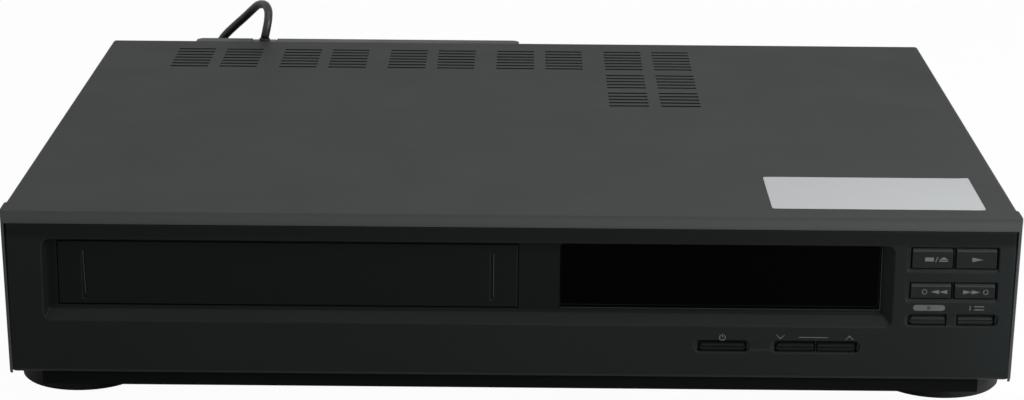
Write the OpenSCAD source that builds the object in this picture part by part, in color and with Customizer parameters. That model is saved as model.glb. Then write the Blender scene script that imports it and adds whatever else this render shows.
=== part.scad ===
// Front-loading video cassette recorder with its deck, loading cage, boards and mains lead.
// Millimetres. X runs along the front, +Y to the back, Z up. Z = 0 is the underside of the feet.

/* [Case] */
// Width over the flared front edge of the cover
case_w = 434.6; // [428:0.2:450]
// Depth from the panel's face to the cover's rear edge
case_d = 325; // [322:1:350]
// Height from the underside of the pan to the top of the cover
case_h = 77.5; // [77:0.5:86]
// Height of the feet
foot_h = 9.5; // [6:0.5:16]
// Diameter of a foot
foot_d = 55; // [40:1:56]
// Distance from the case's side to the centre of a foot
foot_side = 27.6; // [27:0.1:40]
// Distance from the panel's face to the centres of the front feet
foot_front = 48.2; // [40:0.1:60]
// Distance from the cover's rear edge to the centres of the rear feet
foot_rear = 38; // [34:1:60]
// Sheet thickness of the cover
cover_t = 1; // [0.8:0.1:1.2]
// Step outwards of the cover's front edge on each side
cover_flare = 1; // [0.9:0.1:1.2]
// Length of the flared front edge of the cover
flare_d = 17; // [13:0.5:20]
// Distance that the flared edge rolls in towards the panel
roll_in = 2.3; // [1.5:0.1:2.5]
// Length of the rolled part of the flared edge
roll_d = 15; // [12:0.5:15]
// Distance that each side leans in at its lower edge
side_lean = 1.2; // [0.8:0.1:1.4]
// Length of the step between the flared edge and the rest of the side
flare_step = 1.5; // [1:0.1:2]
// Outer radius of the cover's rolled front lip
lip_r = 4.4; // [3.4:0.2:5]
// Outer radius of the bends along the cover's top
bend_r = 2; // [1.6:0.1:3]
// Height of the cover's lower edge above the underside of the pan
skirt_up = 6.3; // [5:0.1:7]
// Sheet thickness of the bottom pan
pan_t = 1; // [0.8:0.1:1.4]
// Height of the pan's turned-up sides
pan_side_h = 24; // [20:1:36]
// Height of the pan's turned-up back
pan_back_h = 10; // [9.9:0.1:10]
// Sheet thickness of the rear panel
rear_t = 1; // [0.8:0.1:1.5]
// Distance from the cover's rear edge to the back of the rear panel
rear_inset = 3; // [2:0.5:5]

/* [Vents] */
// Length of a vent slot
vent_l = 19.4; // [14:0.2:21]
// Width of a vent slot
vent_w = 2.4; // [1.4:0.1:2.6]
// Distance from slot to slot
vent_pitch = 6.4; // [5:0.1:6.5]
// Distance between the two groups of a pair
vent_pair = 25.3; // [23:0.1:28]
// Distance from pair to pair
vent_step = 56.2; // [52:0.1:57]
// Left end of the first slot
vent_x = -178; // [-190:1:-165]
// Distance from the cover's rear edge to the middle of the last slots
vent_rear = 18.5; // [12:0.5:24]
// Distance from the last slots of the rear row to those of the middle row
vent_mid = 52; // [48:1:56]
// Distance from the last slots of the rear row to those of the front row
vent_fore = 89; // [84:1:94]

/* [Rear housing] */
// How far the rear housing stands out behind the cover
hump_out = 8; // [8:0.5:12]
// Left side of the rear housing
hump_x = -171.5; // [-180:0.5:-165]
// Width of the rear housing
hump_w = 173.5; // [160:0.5:180]
// Height of the rear housing's underside above the floor
hump_z = 22; // [18:1:30]
// Wall of the rear housing
hump_t = 2; // [1.6:0.1:2.4]
// Corner radius of the rear housing seen from above
hump_r = 4; // [2.5:0.5:5]
// Width of the notch that the mains lead rises in
notch_w = 13; // [10:0.5:16]
// Height of the notch's ledge above the floor
notch_z = 58; // [54:0.5:62]

/* [Front panel] */
// Gap between the panel and the cover's sides at their lower edge
panel_gap = 0.2; // [0.2:0.1:1]
// Height of the panel's lower edge above the underside of the pan
panel_up = 6.3; // [5:0.1:8]
// Wall of the panel
panel_t = 2.5; // [2.2:0.1:3]
// Gap between the end of the panel's rim and the step in the cover's sides
rim_gap = 0.5; // [0.3:0.1:2]
// Radius of the panel's lower corners
panel_r = 2.5; // [1.5:0.1:3]
// Radius of the panel's lower front edge
panel_roll = 3; // [2:0.1:3.5]
// Chamfer round the panel's face
panel_c = 0.7; // [0.4:0.1:1]
// Distance from the panel's left edge to the recess round flap and display
recess_side = 14.1; // [10:0.1:15]
// Distance from the recess to the transport buttons
keys_gap = 6.7; // [4:0.1:8]
// Radius of the recess's corners seen from the front
recess_r = 4; // [2:0.5:5]
// Height of the recess's lower edge above the floor
recess_z = 39.7; // [38:0.1:41]
// Height of the recess
recess_h = 36.3; // [36.2:0.1:37]
// Depth of the recess
recess_d = 5; // [4:0.1:5.5]
// Height of the recess's sloping lower side
recess_bottom = 5.2; // [4:0.1:5.4]
// Width of the recess's sloping right side
recess_right = 5; // [3:0.1:5.2]
// Width of the recess's sloping left side
recess_left = 2; // [1:0.1:3]
// Height of the recess's sloping upper side
recess_top = 1.2; // [0.6:0.1:1.4]

/* [Cassette flap] */
// Width of the flap
flap_w = 195.4; // [194:0.1:197]
// Height of the flap
flap_h = 27.9; // [27.6:0.1:28.3]
// Thickness of the flap
flap_t = 2.2; // [1.8:0.1:2.6]
// Distance from the panel's left edge to the middle of the cassette bay
bay_side = 117.9; // [116:0.1:118.5]
// Height of the flap's lower edge above the floor
flap_z = 45.7; // [45.5:0.1:45.9]
// Gap round the flap
flap_gap = 0.4; // [0.3:0.05:0.6]
// Distance from the flap's upper edge down to its hinge
hinge_drop = 1; // [0.8:0.1:1.2]
// Distance from the flap's face back to its hinge
hinge_in = 2; // [1.9:0.1:2.2]
// Diameter of the flap's hinge pins
hinge_pin_d = 2.4; // [2:0.1:2.6]
// Length of a hinge pin
hinge_pin_l = 3.6; // [3:0.1:4]
// Running clearance of pins and shafts, on the radius
run_gap = 0.05; // [0.02:0.01:0.09]

/* [Display] */
// Distance from the flap to the display window
window_left = 18.4; // [17:0.1:24]
// Distance from the display window to the right edge of the recess
window_right = 6; // [5.6:0.1:9]
// Height of the display window
window_h = 26.3; // [24:0.1:26.6]
// Corner radius of the display window
window_r = 1.2; // [1:0.1:3]
// Thickness of the display window
window_t = 2; // [1.6:0.1:2.4]
// Height of the window's middle above the floor
window_z = 60.65; // [60:0.05:61]
// Distance that the display tube ends short of the window
tube_end = 11.6; // [8:0.1:20]
// Height of the display tube
tube_h = 20; // [16:0.5:22]
// Thickness of the display tube
tube_t = 5.5; // [4.5:0.1:6]

/* [Buttons] */
// Distance from the transport buttons to the panel's right edge
keys_side = 6.9; // [6:0.1:8]
// Width over a pair of transport buttons
keys_w = 36.4; // [34:0.1:37]
// Height of the upper row
row_1_h = 8.9; // [8:0.1:9.4]
// Height of the upper row's middle above the floor
row_1_z = 70.55; // [70:0.05:71]
// Height of the middle row
row_2_h = 6.7; // [6:0.1:7.4]
// Height of the middle row's middle above the floor
row_2_z = 56.15; // [55.5:0.05:57]
// Height of the thin slot buttons
slot_h = 4.5; // [4:0.1:4.8]
// Height of the thin transport buttons' middle above the floor
row_3_z = 43.25; // [42.5:0.05:43.5]
// Height of the lower slots' middle above the floor
row_4_z = 30.75; // [30:0.05:31.5]
// Bar between the two thin transport buttons
row_3_bar = 4.7; // [4:0.1:5.5]
// Distance from the left end of the power button to that of the transport buttons
power_side = 89.1; // [87:0.1:91]
// Width of the power button
power_w = 20.5; // [18:0.1:22]
// Distance from the left end of the channel buttons to that of the transport buttons
channel_side = 56.3; // [55:0.1:57]
// Width over the pair of channel buttons
channel_w = 34.7; // [32:0.1:36]
// Gap between the two buttons of a pair
pair_gap = 0.8; // [0.6:0.1:1.2]
// Clearance round a button
key_gap = 0.25; // [0.2:0.05:0.3]
// Travel of a button
key_travel = 0.6; // [0.4:0.1:0.8]
// Depth of the sunk surround of a button pair
sink_d = 0.9; // [0.6:0.1:1.2]
// Margin of the sunk surround
sink_m = 0.7; // [0.5:0.1:0.9]
// Thickness of the front board
board_t = 1.6; // [1.2:0.1:2]
// Distance from the panel's face to the front board
board_in = 19.5; // [19:0.1:21]

/* [Cassette and loading] */
// Width of the cassette
tape_w = 187; // [186.5:0.1:187.5]
// Depth of the cassette
tape_d = 103; // [102.5:0.1:103.5]
// Height of the cassette
tape_h = 25; // [24.8:0.1:25.2]
// Distance between the reels
reel_pitch = 92; // [91.5:0.1:92.5]
// Distance from the cassette's tape edge to its reels
reel_in = 56; // [55:0.5:57]
// Distance from the panel's face to the tape edge of a loaded cassette
seat_d = 137; // [136:0.5:138]
// How far the cassette is drawn in
draw_in = 56; // [54:0.5:57]
// How far the cassette is lowered
lower_by = 18.5; // [18:0.1:18.8]
// Gap between sliding sheets
slide_gap = 0.3; // [0.2:0.05:0.35]
// Sheet thickness of cage, slider and holder
sheet_t = 1.2; // [1:0.1:1.3]
// Depth of the cassette holder
holder_d = 52; // [48:1:53]
// Distance from the panel's face to the holder
holder_in = 36; // [35.5:0.1:38]
// Diameter of the holder's guide pins
guide_pin_d = 4; // [3.6:0.1:4.2]
// Height of the cage's side plates above the deck
cage_h = 55.8; // [55.2:0.1:57]
// Depth of the cage's side plates
cage_d = 166; // [160:1:172]
// Distance from the panel's face to the cage
cage_in = 24; // [23:0.5:26]

/* [Deck] */
// Height of the deck's underside above the pan's underside
deck_up = 10.5; // [10.2:0.1:10.8]
// Thickness of the deck plate
deck_t = 1.2; // [1:0.1:1.4]
// Width of the deck plate
deck_w = 212; // [211:1:213]
// Depth of the deck plate
deck_d = 216; // [214:1:220]
// Distance from the panel's face to the deck plate
deck_in = 22; // [21:0.5:22.5]
// Diameter of the drum
drum_d = 62; // [61.8:0.1:62.2]
// Height of the lower drum
drum_low_h = 19; // [17:0.5:21]
// Height of the upper drum
drum_high_h = 18; // [16:0.5:20]
// Lean of the drum towards the front, in degrees
drum_lean = 6; // [4:0.5:6.5]
// Distance from the panel's face to the drum's axis
drum_in = 180; // [179:0.5:181]
// Diameter of the capstan shaft
capstan_d = 3; // [2.8:0.1:3.2]
// Distance from the bay's middle to the capstan
capstan_x = 60; // [59:0.5:61]
// Distance from the panel's face to the capstan
capstan_in = 147; // [146.5:0.5:147.5]
// Diameter of the capstan's rotor
rotor_d = 48; // [44:1:49]
// Diameter of the pinch roller
roller_d = 14; // [13:0.1:14.2]
// Length of the pinch arm
pinch_l = 26; // [25:0.5:26.5]
// Diameter of a reel table
reel_d = 36; // [34:0.5:38]
// Diameter of the idler wheel
idler_d = 24; // [22:0.5:25]
// Length of the idler arm
idler_l = 29; // [28:0.5:30]
// Travel of the tape guides
guide_travel = 66; // [60:1:67]
// Tooth size of the loading gears
gear_module = 1.25; // [1.2:0.01:1.27]
// Backlash of the loading gears
backlash = 0.25; // [0.2:0.05:0.4]
// Height of the loading gears
gear_h = 6; // [5:0.5:7]

/* [Boards and sockets] */
// Height of the boards above the underside of the pan
pcb_up = 8.5; // [7:0.5:10]
// Gap between the deck and the main board
main_gap = 11.7; // [8:0.1:16]
// Distance from the panel's face to the main board
main_front = 39.5; // [37:0.5:44]
// Distance from the main board to the outside of the case
main_side = 10.3; // [8:0.1:13]
// Width of the power board
power_board_w = 186; // [180:1:190]
// Gap between the deck and the power board
power_gap = 7.5; // [4:0.5:10]
// Distance from the power board to the outside of the case
power_board_side = 25.3; // [20:0.1:28]
// Width of the transformer
core_w = 48; // [40:1:52]
// Height of the transformer
core_h = 38; // [30:1:42]
// Width of the heat sink
sink_w = 46; // [40:1:50]
// Height of the heat sink
sink_h = 34; // [28:1:40]
// Width of the tuner can
tuner_w = 34; // [30:1:38]
// Depth of the tuner can
tuner_d = 58; // [50:1:62]
// Height of the tuner can
tuner_h = 44; // [42:1:48]
// Distance from the middle of the tuner can to the right end of the main board
tuner_side = 23; // [20:0.5:26]
// Diameter of the aerial connectors
aerial_d = 9.5; // [9.4:0.1:9.6]
// Length that an aerial connector stands out of the rear panel
aerial_l = 8.5; // [8:0.1:9]
// Distance between the two aerial connectors
aerial_step = 20; // [18:0.5:21]
// Width of the shell of an audio and video socket
scart_w = 50; // [48:0.5:52]
// Height of the shell of an audio and video socket
scart_h = 17; // [16:0.5:18]
// Gap between the sockets and the tuner can
scart_gap = 25; // [6:0.5:28]
// Distance from one audio and video socket to the next
scart_step = 60; // [58:0.5:64]

/* [Mains lead] */
// Diameter of the mains lead
cord_d = 4.5; // [4.5:0.1:4.5]
// Inner radius of the coil, at the middle of the lead
coil_r = 19; // [18.5:0.5:21]
// Step from turn to turn
coil_step = 5; // [4.95:0.05:5.2]
// Step from layer to layer
layer_step = 4.95; // [4.95:0.05:5.2]
// Turns in a layer
layer_turns = 2.5; // [2.5:1:2.5]
// Number of layers
layers = 4; // [4:2:4]
// Thickness of the coil's tie
tie_t = 0.7; // [0.5:0.1:0.8]
// Width of the coil's tie
tie_w = 6; // [4:0.5:8]
// Width of the plug
plug_w = 35; // [33:1:37]
// Length of the plug's body
plug_l = 36; // [32:1:40]
// Thickness of the plug
plug_t = 13.6; // [12:0.1:15]
// Diameter of a plug pin
pin_d = 4; // [4:0.1:4]
// Length of a plug pin
pin_l = 19; // [19:0.1:19]
// Distance between the plug pins
pin_step = 18.6; // [17.6:0.1:19]

/* [Hidden] */
$fn = 48;
eps = 0.01;

case_color = [0.27, 0.275, 0.275];
panel_color = [0.11, 0.118, 0.118];
flap_color = [0.075, 0.083, 0.079];
black_color = [0.02, 0.022, 0.022];
steel_color = [0.62, 0.63, 0.64];
zinc_color = [0.72, 0.72, 0.70];
board_color = [0.42, 0.33, 0.16];
cream_color = [0.82, 0.80, 0.72];
copper_color = [0.62, 0.36, 0.20];

half_w = case_w / 2;
front_y = -(case_d + hump_out) / 2;
rear_y = front_y + case_d;
pan_z = foot_h;
top_z = foot_h + case_h;
roof_z = top_z - cover_t;
body_half = half_w - cover_flare;
pan_half = body_half - side_lean - cover_t - 0.2;
floor_z = pan_z + pan_t;
skirt_z = pan_z + skirt_up;
panel_half = half_w - roll_in - side_lean - cover_t - panel_gap;
bay_x = -panel_half + bay_side;
keys_x = panel_half - keys_side - keys_w;
recess_x = -panel_half + recess_side;
recess_x1 = keys_x - keys_gap;
window_x0 = bay_x + flap_w / 2 + window_left;
window_w = recess_x1 - window_right - window_x0;
window_x = window_x0 + window_w / 2;
tube_l = window_w - 2 * tube_end;
power_x = keys_x - power_side;
channel_x = keys_x - channel_side;
panel_z = pan_z + panel_up;
panel_top = top_z - lip_r;
panel_d = flare_d - flare_step - rim_gap;
rear_back = rear_y - rear_inset;
rear_front = rear_back - rear_t;
deck_z = pan_z + deck_up;
deck_top = deck_z + deck_t;
pcb_z = pan_z + pcb_up;
pcb_top = pcb_z + board_t;

// A distance behind the panel's face, as a Y of the model
function in_y(d) = front_y + d;

// Points along a circle's arc
function arc(c, r, a0, a1, n) =
  [for (i = [0:n]) c + r * [cos(a0 + (a1 - a0) * i / n), sin(a0 + (a1 - a0) * i / n)]];

// An X-Z outline extruded from one Y to another
module along_y(y0, y1) {
  translate([0, y1, 0]) rotate([90, 0, 0]) linear_extrude(y1 - y0) children();
}

// A Y-Z outline extruded from one X to another
module along_x(x0, x1) {
  translate([x0, 0, 0]) rotate([90, 0, 90]) linear_extrude(x1 - x0) children();
}

// An X-Y outline extruded from one Z to another
module along_z(z0, z1) {
  translate([0, 0, z0]) linear_extrude(z1 - z0) children();
}

// A box from its low corner to its high corner
module block(lo, hi) {
  translate(lo) cube(hi - lo);
}

// A rectangle with round corners, from its low to its high corner
module round_rect(lo, hi, r) {
  translate([lo.x + r, lo.y]) square([hi.x - lo.x - 2 * r, hi.y - lo.y]);
  translate([lo.x, lo.y + r]) square([hi.x - lo.x, hi.y - lo.y - 2 * r]);
  for (x = [lo.x + r, hi.x - r], y = [lo.y + r, hi.y - r]) translate([x, y]) circle(r);
}

// A round rod from a point along +Z
module rod(p, d, h) {
  translate(p) cylinder(d = d, h = h);
}

/* Cover */

// Distance that a side leans in at a height
function lean_at(z) = side_lean * (top_z - bend_r - z) / (top_z - bend_r - skirt_z);

lean_angle = atan(side_lean / (top_z - bend_r - skirt_z));

// The cover's outline seen from the front, with leaning sides and two rounded top corners
module arch(half, top, bottom, r) {
  low = half - lean_at(bottom);
  polygon([[-low, bottom], [low, bottom], [half, top - r], [-half, top - r]]);
  translate([-(half - r), bottom]) square([2 * (half - r), top - bottom]);
  for (side = [-1, 1]) translate([side * (half - r), top - r]) circle(r);
}

// The bent sheet seen from the front, for a given half width outside and inside
module cover_section(outer, inner) {
  difference() {
    arch(outer, top_z, skirt_z, bend_r);
    arch(inner, roof_z, pan_z - 1, bend_r - cover_t * 0.5);
  }
}

roll_r = (pow(roll_d, 2) + pow(roll_in, 2)) / (2 * roll_in);

// A rectangle between two distances to one side and two places in y
module side_rect(side, x0, x1, y0, y1) {
  translate([side > 0 ? x0 : -x1, y0]) square([x1 - x0, y1 - y0]);
}

// The flared edge with one side rolled in to the front, leaning as the arch does
module roll_side(side, inset, ahead) {
  x = half_w - inset;
  pivot = [side * half_w, 0, top_z - bend_r];
  translate(pivot) rotate([0, side * lean_angle, 0]) translate(-pivot)
    along_z(pan_z - 12, top_z + 4) {
      side_rect(side, -half_w - 20, half_w + 1, in_y(roll_d), in_y(flare_d + ahead + 1));
      side_rect(side, -half_w - 20, x - 2 * roll_in, in_y(-ahead), in_y(roll_d) + eps);
      intersection() {
        translate([side * (half_w - roll_r), in_y(roll_d)])
          circle(roll_r - inset - 0.02, $fn = 240);
        side_rect(side, x - 3 * roll_in, half_w + 1, in_y(-ahead), in_y(roll_d) + eps);
      }
    }
}

// The flared edge seen from the side, its top rolled over at the front
module lip_view(inset, ahead) {
  translate([in_y(-ahead), pan_z - ahead])
    square([flare_d + 2 * ahead, panel_top - pan_z + ahead]);
  translate([in_y(lip_r), panel_top - eps])
    square([flare_d - lip_r + ahead, lip_r - inset + eps]);
  intersection() {
    translate([in_y(lip_r), panel_top]) circle(lip_r - inset);
    translate([in_y(0), panel_top - eps]) square([lip_r + eps, lip_r + eps]);
  }
}

// A solid of the flared edge's outline, or of the hollow inside it
module flare_form(inset, ahead, bottom) {
  intersection() {
    along_y(in_y(-ahead), in_y(flare_d + ahead))
      arch(half_w - inset, top_z - inset, bottom, bend_r - inset * 0.5);
    roll_side(1, inset, ahead);
    roll_side(-1, inset, ahead);
    along_x(-half_w, half_w) lip_view(inset, ahead);
  }
}

// A group of slots, by its left end and its rearmost slot
module vent_group(x, y, count) {
  for (i = [0:count - 1])
    translate([x, y - i * vent_pitch - vent_w / 2]) square([vent_l, vent_w]);
}

// All the slots of the cover, seen from above
module vents() {
  last = rear_y - vent_rear;
  for (pair = [0:4], side = [0:1])
    vent_group(vent_x + pair * vent_step + side * vent_pair, last, 7);
  for (side = [0:1]) {
    x = vent_x + 4 * vent_step + side * vent_pair;
    vent_group(x, last - vent_mid, 5);
    vent_group(x, last - vent_fore, 5);
  }
}

// Places of the screws in the cover's sides, as distances behind the face
side_screw_in = [90, 250];
side_screw_z = pan_z + 16;
screw_face = body_half - lean_at(side_screw_z) + 0.07;
screw_head_d = 7.6;
screw_head_h = 0.9;
screw_d = 3;
screw_l = 7;

module top_cover() color(case_color) difference() {
  union() {
    along_y(in_y(flare_d), rear_y) cover_section(body_half, body_half - cover_t);
    along_y(in_y(flare_d - flare_step), in_y(flare_d)) cover_section(half_w, body_half - cover_t);
    difference() {
      flare_form(0, 0, skirt_z);
      flare_form(cover_t, 1, pan_z - 1);
    }
  }
  along_z(roof_z - 1, top_z + 1) vents();
  for (side = [-1, 1], d = side_screw_in)
    translate([side * screw_face, in_y(d), side_screw_z])
      rotate([0, 90, 0]) cylinder(d = screw_d + 0.8, h = 8, center = true);
}

/* Front panel */

recess_z1 = recess_z + recess_h;
flap_x0 = bay_x - flap_w / 2;
flap_x1 = bay_x + flap_w / 2;
flap_z1 = flap_z + flap_h;
hinge_y = in_y(recess_d + hinge_in);
hinge_z = flap_z1 - hinge_drop;
window_lo = [window_x - window_w / 2, window_z - window_h / 2];
window_hi = [window_x + window_w / 2, window_z + window_h / 2];
window_y = in_y(recess_d - 0.4);

// The sloping sides of the recess, seen from the right, with a small fillet at the bottom
module recess_side_view() {
  z0 = recess_z;
  z1 = recess_z + recess_bottom;
  fillet = 1;
  polygon(concat(
    [[in_y(-1), z0], [in_y(0), z0], [in_y(recess_d - fillet), z1 - fillet * 1.1]],
    arc([in_y(recess_d - fillet), z1 + 0.1], fillet, -60, 0, 4),
    [[in_y(recess_d), recess_z1 - recess_top], [in_y(0), recess_z1], [in_y(-1), recess_z1]]));
}

// The sloping sides of the recess, seen from above
module recess_top_view() {
  polygon([
    [recess_x, in_y(-1)], [recess_x, in_y(0)], [recess_x + recess_left, in_y(recess_d)],
    [recess_x1 - recess_right, in_y(recess_d)], [recess_x1, in_y(0)], [recess_x1, in_y(-1)]]);
}

module recess_cut() {
  intersection() {
    along_x(recess_x, recess_x1) recess_side_view();
    along_z(recess_z, recess_z1) recess_top_view();
    along_y(in_y(-1), in_y(recess_d + 1))
      round_rect([recess_x, recess_z], [recess_x1, recess_z1], recess_r);
  }
}

// The panel's outer block, chamfered round its face
module panel_block() {
  c = panel_c;
  intersection() {
    along_y(in_y(0), in_y(panel_d)) {
      round_rect([-panel_half, panel_z], [panel_half, panel_top], panel_r);
      translate([-panel_half, panel_top - 10]) square([2 * panel_half, 10]);
    }
    along_x(-panel_half, panel_half) {
      polygon([
        [in_y(panel_roll), panel_z], [in_y(panel_d), panel_z], [in_y(panel_d), panel_top],
        [in_y(0.4), panel_top], [in_y(0), panel_top - 0.4], [in_y(0), panel_z + panel_roll],
        [in_y(panel_roll), panel_z + panel_roll]]);
      translate([in_y(panel_roll), panel_z + panel_roll]) circle(panel_roll);
    }
    along_z(panel_z, panel_top) polygon([
      [-panel_half, in_y(panel_d)], [-panel_half, in_y(c)], [-panel_half + c, in_y(0)],
      [panel_half - c, in_y(0)], [panel_half, in_y(c)], [panel_half, in_y(panel_d)]]);
  }
}

// Each button as [left end, right end, middle height, height, is it thin]
half_keys = (keys_w - pair_gap) / 2;
half_thin = (keys_w - row_3_bar) / 2;
half_channel = (channel_w - pair_gap) / 2;
keys_x1 = keys_x + keys_w;
BUTTONS = [
  [keys_x, keys_x + half_keys, row_1_z, row_1_h, false],
  [keys_x1 - half_keys, keys_x1, row_1_z, row_1_h, false],
  [keys_x, keys_x + half_keys, row_2_z, row_2_h, false],
  [keys_x1 - half_keys, keys_x1, row_2_z, row_2_h, false],
  [keys_x, keys_x + half_thin, row_3_z, slot_h, true],
  [keys_x1 - half_thin, keys_x1, row_3_z, slot_h, true],
  [power_x, power_x + power_w, row_4_z, slot_h, true],
  [channel_x, channel_x + half_channel, row_4_z, slot_h, true],
  [channel_x + channel_w - half_channel, channel_x + channel_w, row_4_z, slot_h, true]
];

// The opening that a button moves in
module button_hole(b) {
  block([b[0] - key_gap, in_y(-1), b[2] - b[3] / 2 - key_gap],
     [b[1] + key_gap, in_y(panel_t + 1), b[2] + b[3] / 2 + key_gap]);
}

// The sunk surround of a pair of buttons, with a sloping rim
module pair_sink(x0, x1, z, h) {
  m = sink_m + sink_d;
  intersection() {
    along_x(x0 - m, x1 + m) polygon([
      [in_y(-1), z - h / 2 - m], [in_y(0), z - h / 2 - m],
      [in_y(sink_d), z - h / 2 - sink_m * 0.4], [in_y(sink_d), z + h / 2 + sink_m],
      [in_y(0), z + h / 2 + sink_m], [in_y(-1), z + h / 2 + sink_m]]);
    along_z(z - h / 2 - m, z + h / 2 + m) polygon([
      [x0 - m, in_y(-1)], [x0 - m, in_y(0)], [x0 - sink_m, in_y(sink_d)],
      [x1 + sink_m, in_y(sink_d)], [x1 + sink_m, in_y(-1)]]);
  }
}

// The sunk slot that thin buttons lie in, and the bar left standing between them
module slot_sink(x0, x1, z, bar) {
  mid = (x0 + x1) / 2;
  half_h = slot_h / 2 + 0.5;
  difference() {
    along_y(in_y(-1), in_y(sink_d))
      round_rect([x0 - 1.6, z - half_h], [x1 + 1.6, z + half_h], half_h - 0.1);
    if (bar > 0)
      block([mid - bar / 2, in_y(0.4), z - half_h - 1], [mid + bar / 2, in_y(2), z + half_h + 1]);
  }
}

// Posts on the back of the panel that carry the front board
board_x0 = bay_x + deck_w / 2 + 3;
board_x1 = panel_half - 6;
board_z0 = panel_z + 4.5;
board_z1 = panel_top - panel_t - 0.1;
board_posts = [for (x = [board_x0 + 5, board_x1 - 4], z = [board_z0 + 5, board_z1 - 1.6]) [x, z]];

module panel_posts() {
  for (p = board_posts) translate([p.x, in_y(panel_t - 0.5), p.y])
    rotate([-90, 0, 0]) cylinder(d = 4, h = board_in - panel_t + 0.5);
}

// The thickened wall round each hinge pin of the flap, and the stud of the closing spring
hinge_block_w = 6;
spring_y = hinge_y + 6.5;
spring_stud_d = 2.2;
spring_l = 4;
module hinge_blocks() {
  for (side = [-1, 1]) {
    x = side < 0 ? flap_x0 - flap_gap - hinge_block_w : flap_x1 + flap_gap;
    block([x, in_y(recess_d + panel_t - 0.5), hinge_z - 3.5],
       [x + hinge_block_w, spring_y + 2, hinge_z + 2.5]);
  }
  translate([flap_x1 + flap_gap + hinge_block_w - 1, spring_y, hinge_z]) rotate([0, 90, 0])
    cylinder(d = spring_stud_d, h = spring_l + 1.6);
}

module front_panel() color(panel_color) difference() {
  union() {
    difference() {
      panel_block();
      block([-panel_half + panel_t, in_y(panel_t), panel_z + panel_t],
         [panel_half - panel_t, in_y(panel_d + 1), panel_top - panel_t]);
    }
    block([recess_x - 1.5, in_y(panel_t - 0.5), recess_z - 1.5],
       [recess_x1 + 1.5, in_y(recess_d + panel_t), recess_z1 + 1.5]);
    hinge_blocks();
    panel_posts();
  }
  recess_cut();
  block([flap_x0 - flap_gap, in_y(0), flap_z - flap_gap],
     [flap_x1 + flap_gap, in_y(recess_d + 9), flap_z1 + flap_gap]);
  translate([flap_x0 - hinge_pin_l - 0.4, hinge_y, hinge_z]) rotate([0, 90, 0])
    cylinder(d = hinge_pin_d + 2 * run_gap, h = flap_w + 2 * hinge_pin_l + 0.8);
  along_y(in_y(0), window_y + window_t)
    round_rect(window_lo - [0.15, 0.15], window_hi + [0.15, 0.15], window_r);
  along_y(in_y(0), in_y(recess_d + panel_t + 1))
    round_rect(window_lo + [1.5, 1.5], window_hi - [1.5, 1.5], 1);
  pair_sink(keys_x, keys_x1, row_1_z, row_1_h);
  pair_sink(keys_x, keys_x1, row_2_z, row_2_h);
  slot_sink(keys_x, keys_x1, row_3_z, row_3_bar - 2 * key_gap);
  slot_sink(power_x, power_x + power_w, row_4_z, 0);
  slot_sink(channel_x, channel_x + channel_w, row_4_z, 0);
  block([power_x + power_w, in_y(-1), row_4_z - slot_h * 0.35],
     [channel_x, in_y(0.35), row_4_z + slot_h * 0.35]);
  for (b = BUTTONS) button_hole(b);
}

/* Flap and display */

// A finger groove down the flap, which narrows to a point at its top
module flap_groove(x, z0, z1) {
  along_y(in_y(recess_d - 1), in_y(recess_d + 0.6))
    polygon([[x - 0.9, z0], [x + 0.9, z0], [x + 0.9, z1 - 4], [x - 0.2, z1], [x - 0.9, z1 - 4]]);
}

module cassette_flap() color(flap_color) {
  difference() {
    union() {
      along_x(flap_x0, flap_x1) polygon([
        [in_y(recess_d), flap_z + 0.3], [in_y(recess_d + 0.3), flap_z],
        [in_y(recess_d + flap_t), flap_z], [in_y(recess_d + flap_t), flap_z1],
        [in_y(recess_d + 0.3), flap_z1], [in_y(recess_d), flap_z1 - 0.3]]);
      translate([flap_x0 - hinge_pin_l, hinge_y, hinge_z]) rotate([0, 90, 0])
        cylinder(d = hinge_pin_d, h = flap_w + 2 * hinge_pin_l);
    }
    flap_groove(flap_x0 + 10.9, flap_z + 2.3, flap_z1 - 2.4);
    flap_groove(flap_x1 - 10.8, flap_z + 3.1, flap_z1 - 2.8);
  }
}

// The flap's closing spring: its coil on the stud, one leg on the panel, one by the hinge pin
module flap_spring() color(steel_color) {
  x = flap_x1 + flap_gap + hinge_block_w + 0.2;
  wire = 0.9;
  coil_d = spring_stud_d + 2 * wire + 0.3;
  panel_back = in_y(recess_d + panel_t) + 0.1;
  translate([x, spring_y, hinge_z]) rotate([0, 90, 0]) difference() {
    cylinder(d = coil_d, h = spring_l);
    translate([0, 0, -1]) cylinder(d = spring_stud_d + 0.3, h = spring_l + 2);
  }
  block([x, panel_back, hinge_z - coil_d / 2], [x + wire, spring_y, hinge_z - coil_d / 2 + wire]);
  block([x + spring_l - wire, panel_back, hinge_z + coil_d / 2 - wire],
     [x + spring_l, spring_y, hinge_z + coil_d / 2]);
}

module display_window() color(black_color) {
  along_y(window_y, window_y + window_t) round_rect(window_lo, window_hi, window_r);
}

// The glass envelope of the display, its leads and the board they are soldered to
tube_y = in_y(recess_d + panel_t + 1.2);
module display_tube() color([0.16, 0.20, 0.20]) {
  x0 = window_x - tube_l / 2;
  z0 = window_z - tube_h / 2;
  block([x0, tube_y, z0], [x0 + tube_l, tube_y + tube_t, z0 + tube_h]);
  for (i = [0:27]) translate([x0 + 4 + i * (tube_l - 8.6) / 27, tube_y + tube_t - 0.5, z0 + 0.4])
    cube([0.6, in_y(board_in) - tube_y - tube_t + 0.5, 0.5]);
  rod([x0 + tube_l, tube_y + tube_t / 2, window_z] - [1, 0, 3], 2.4, 6);
}

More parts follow.
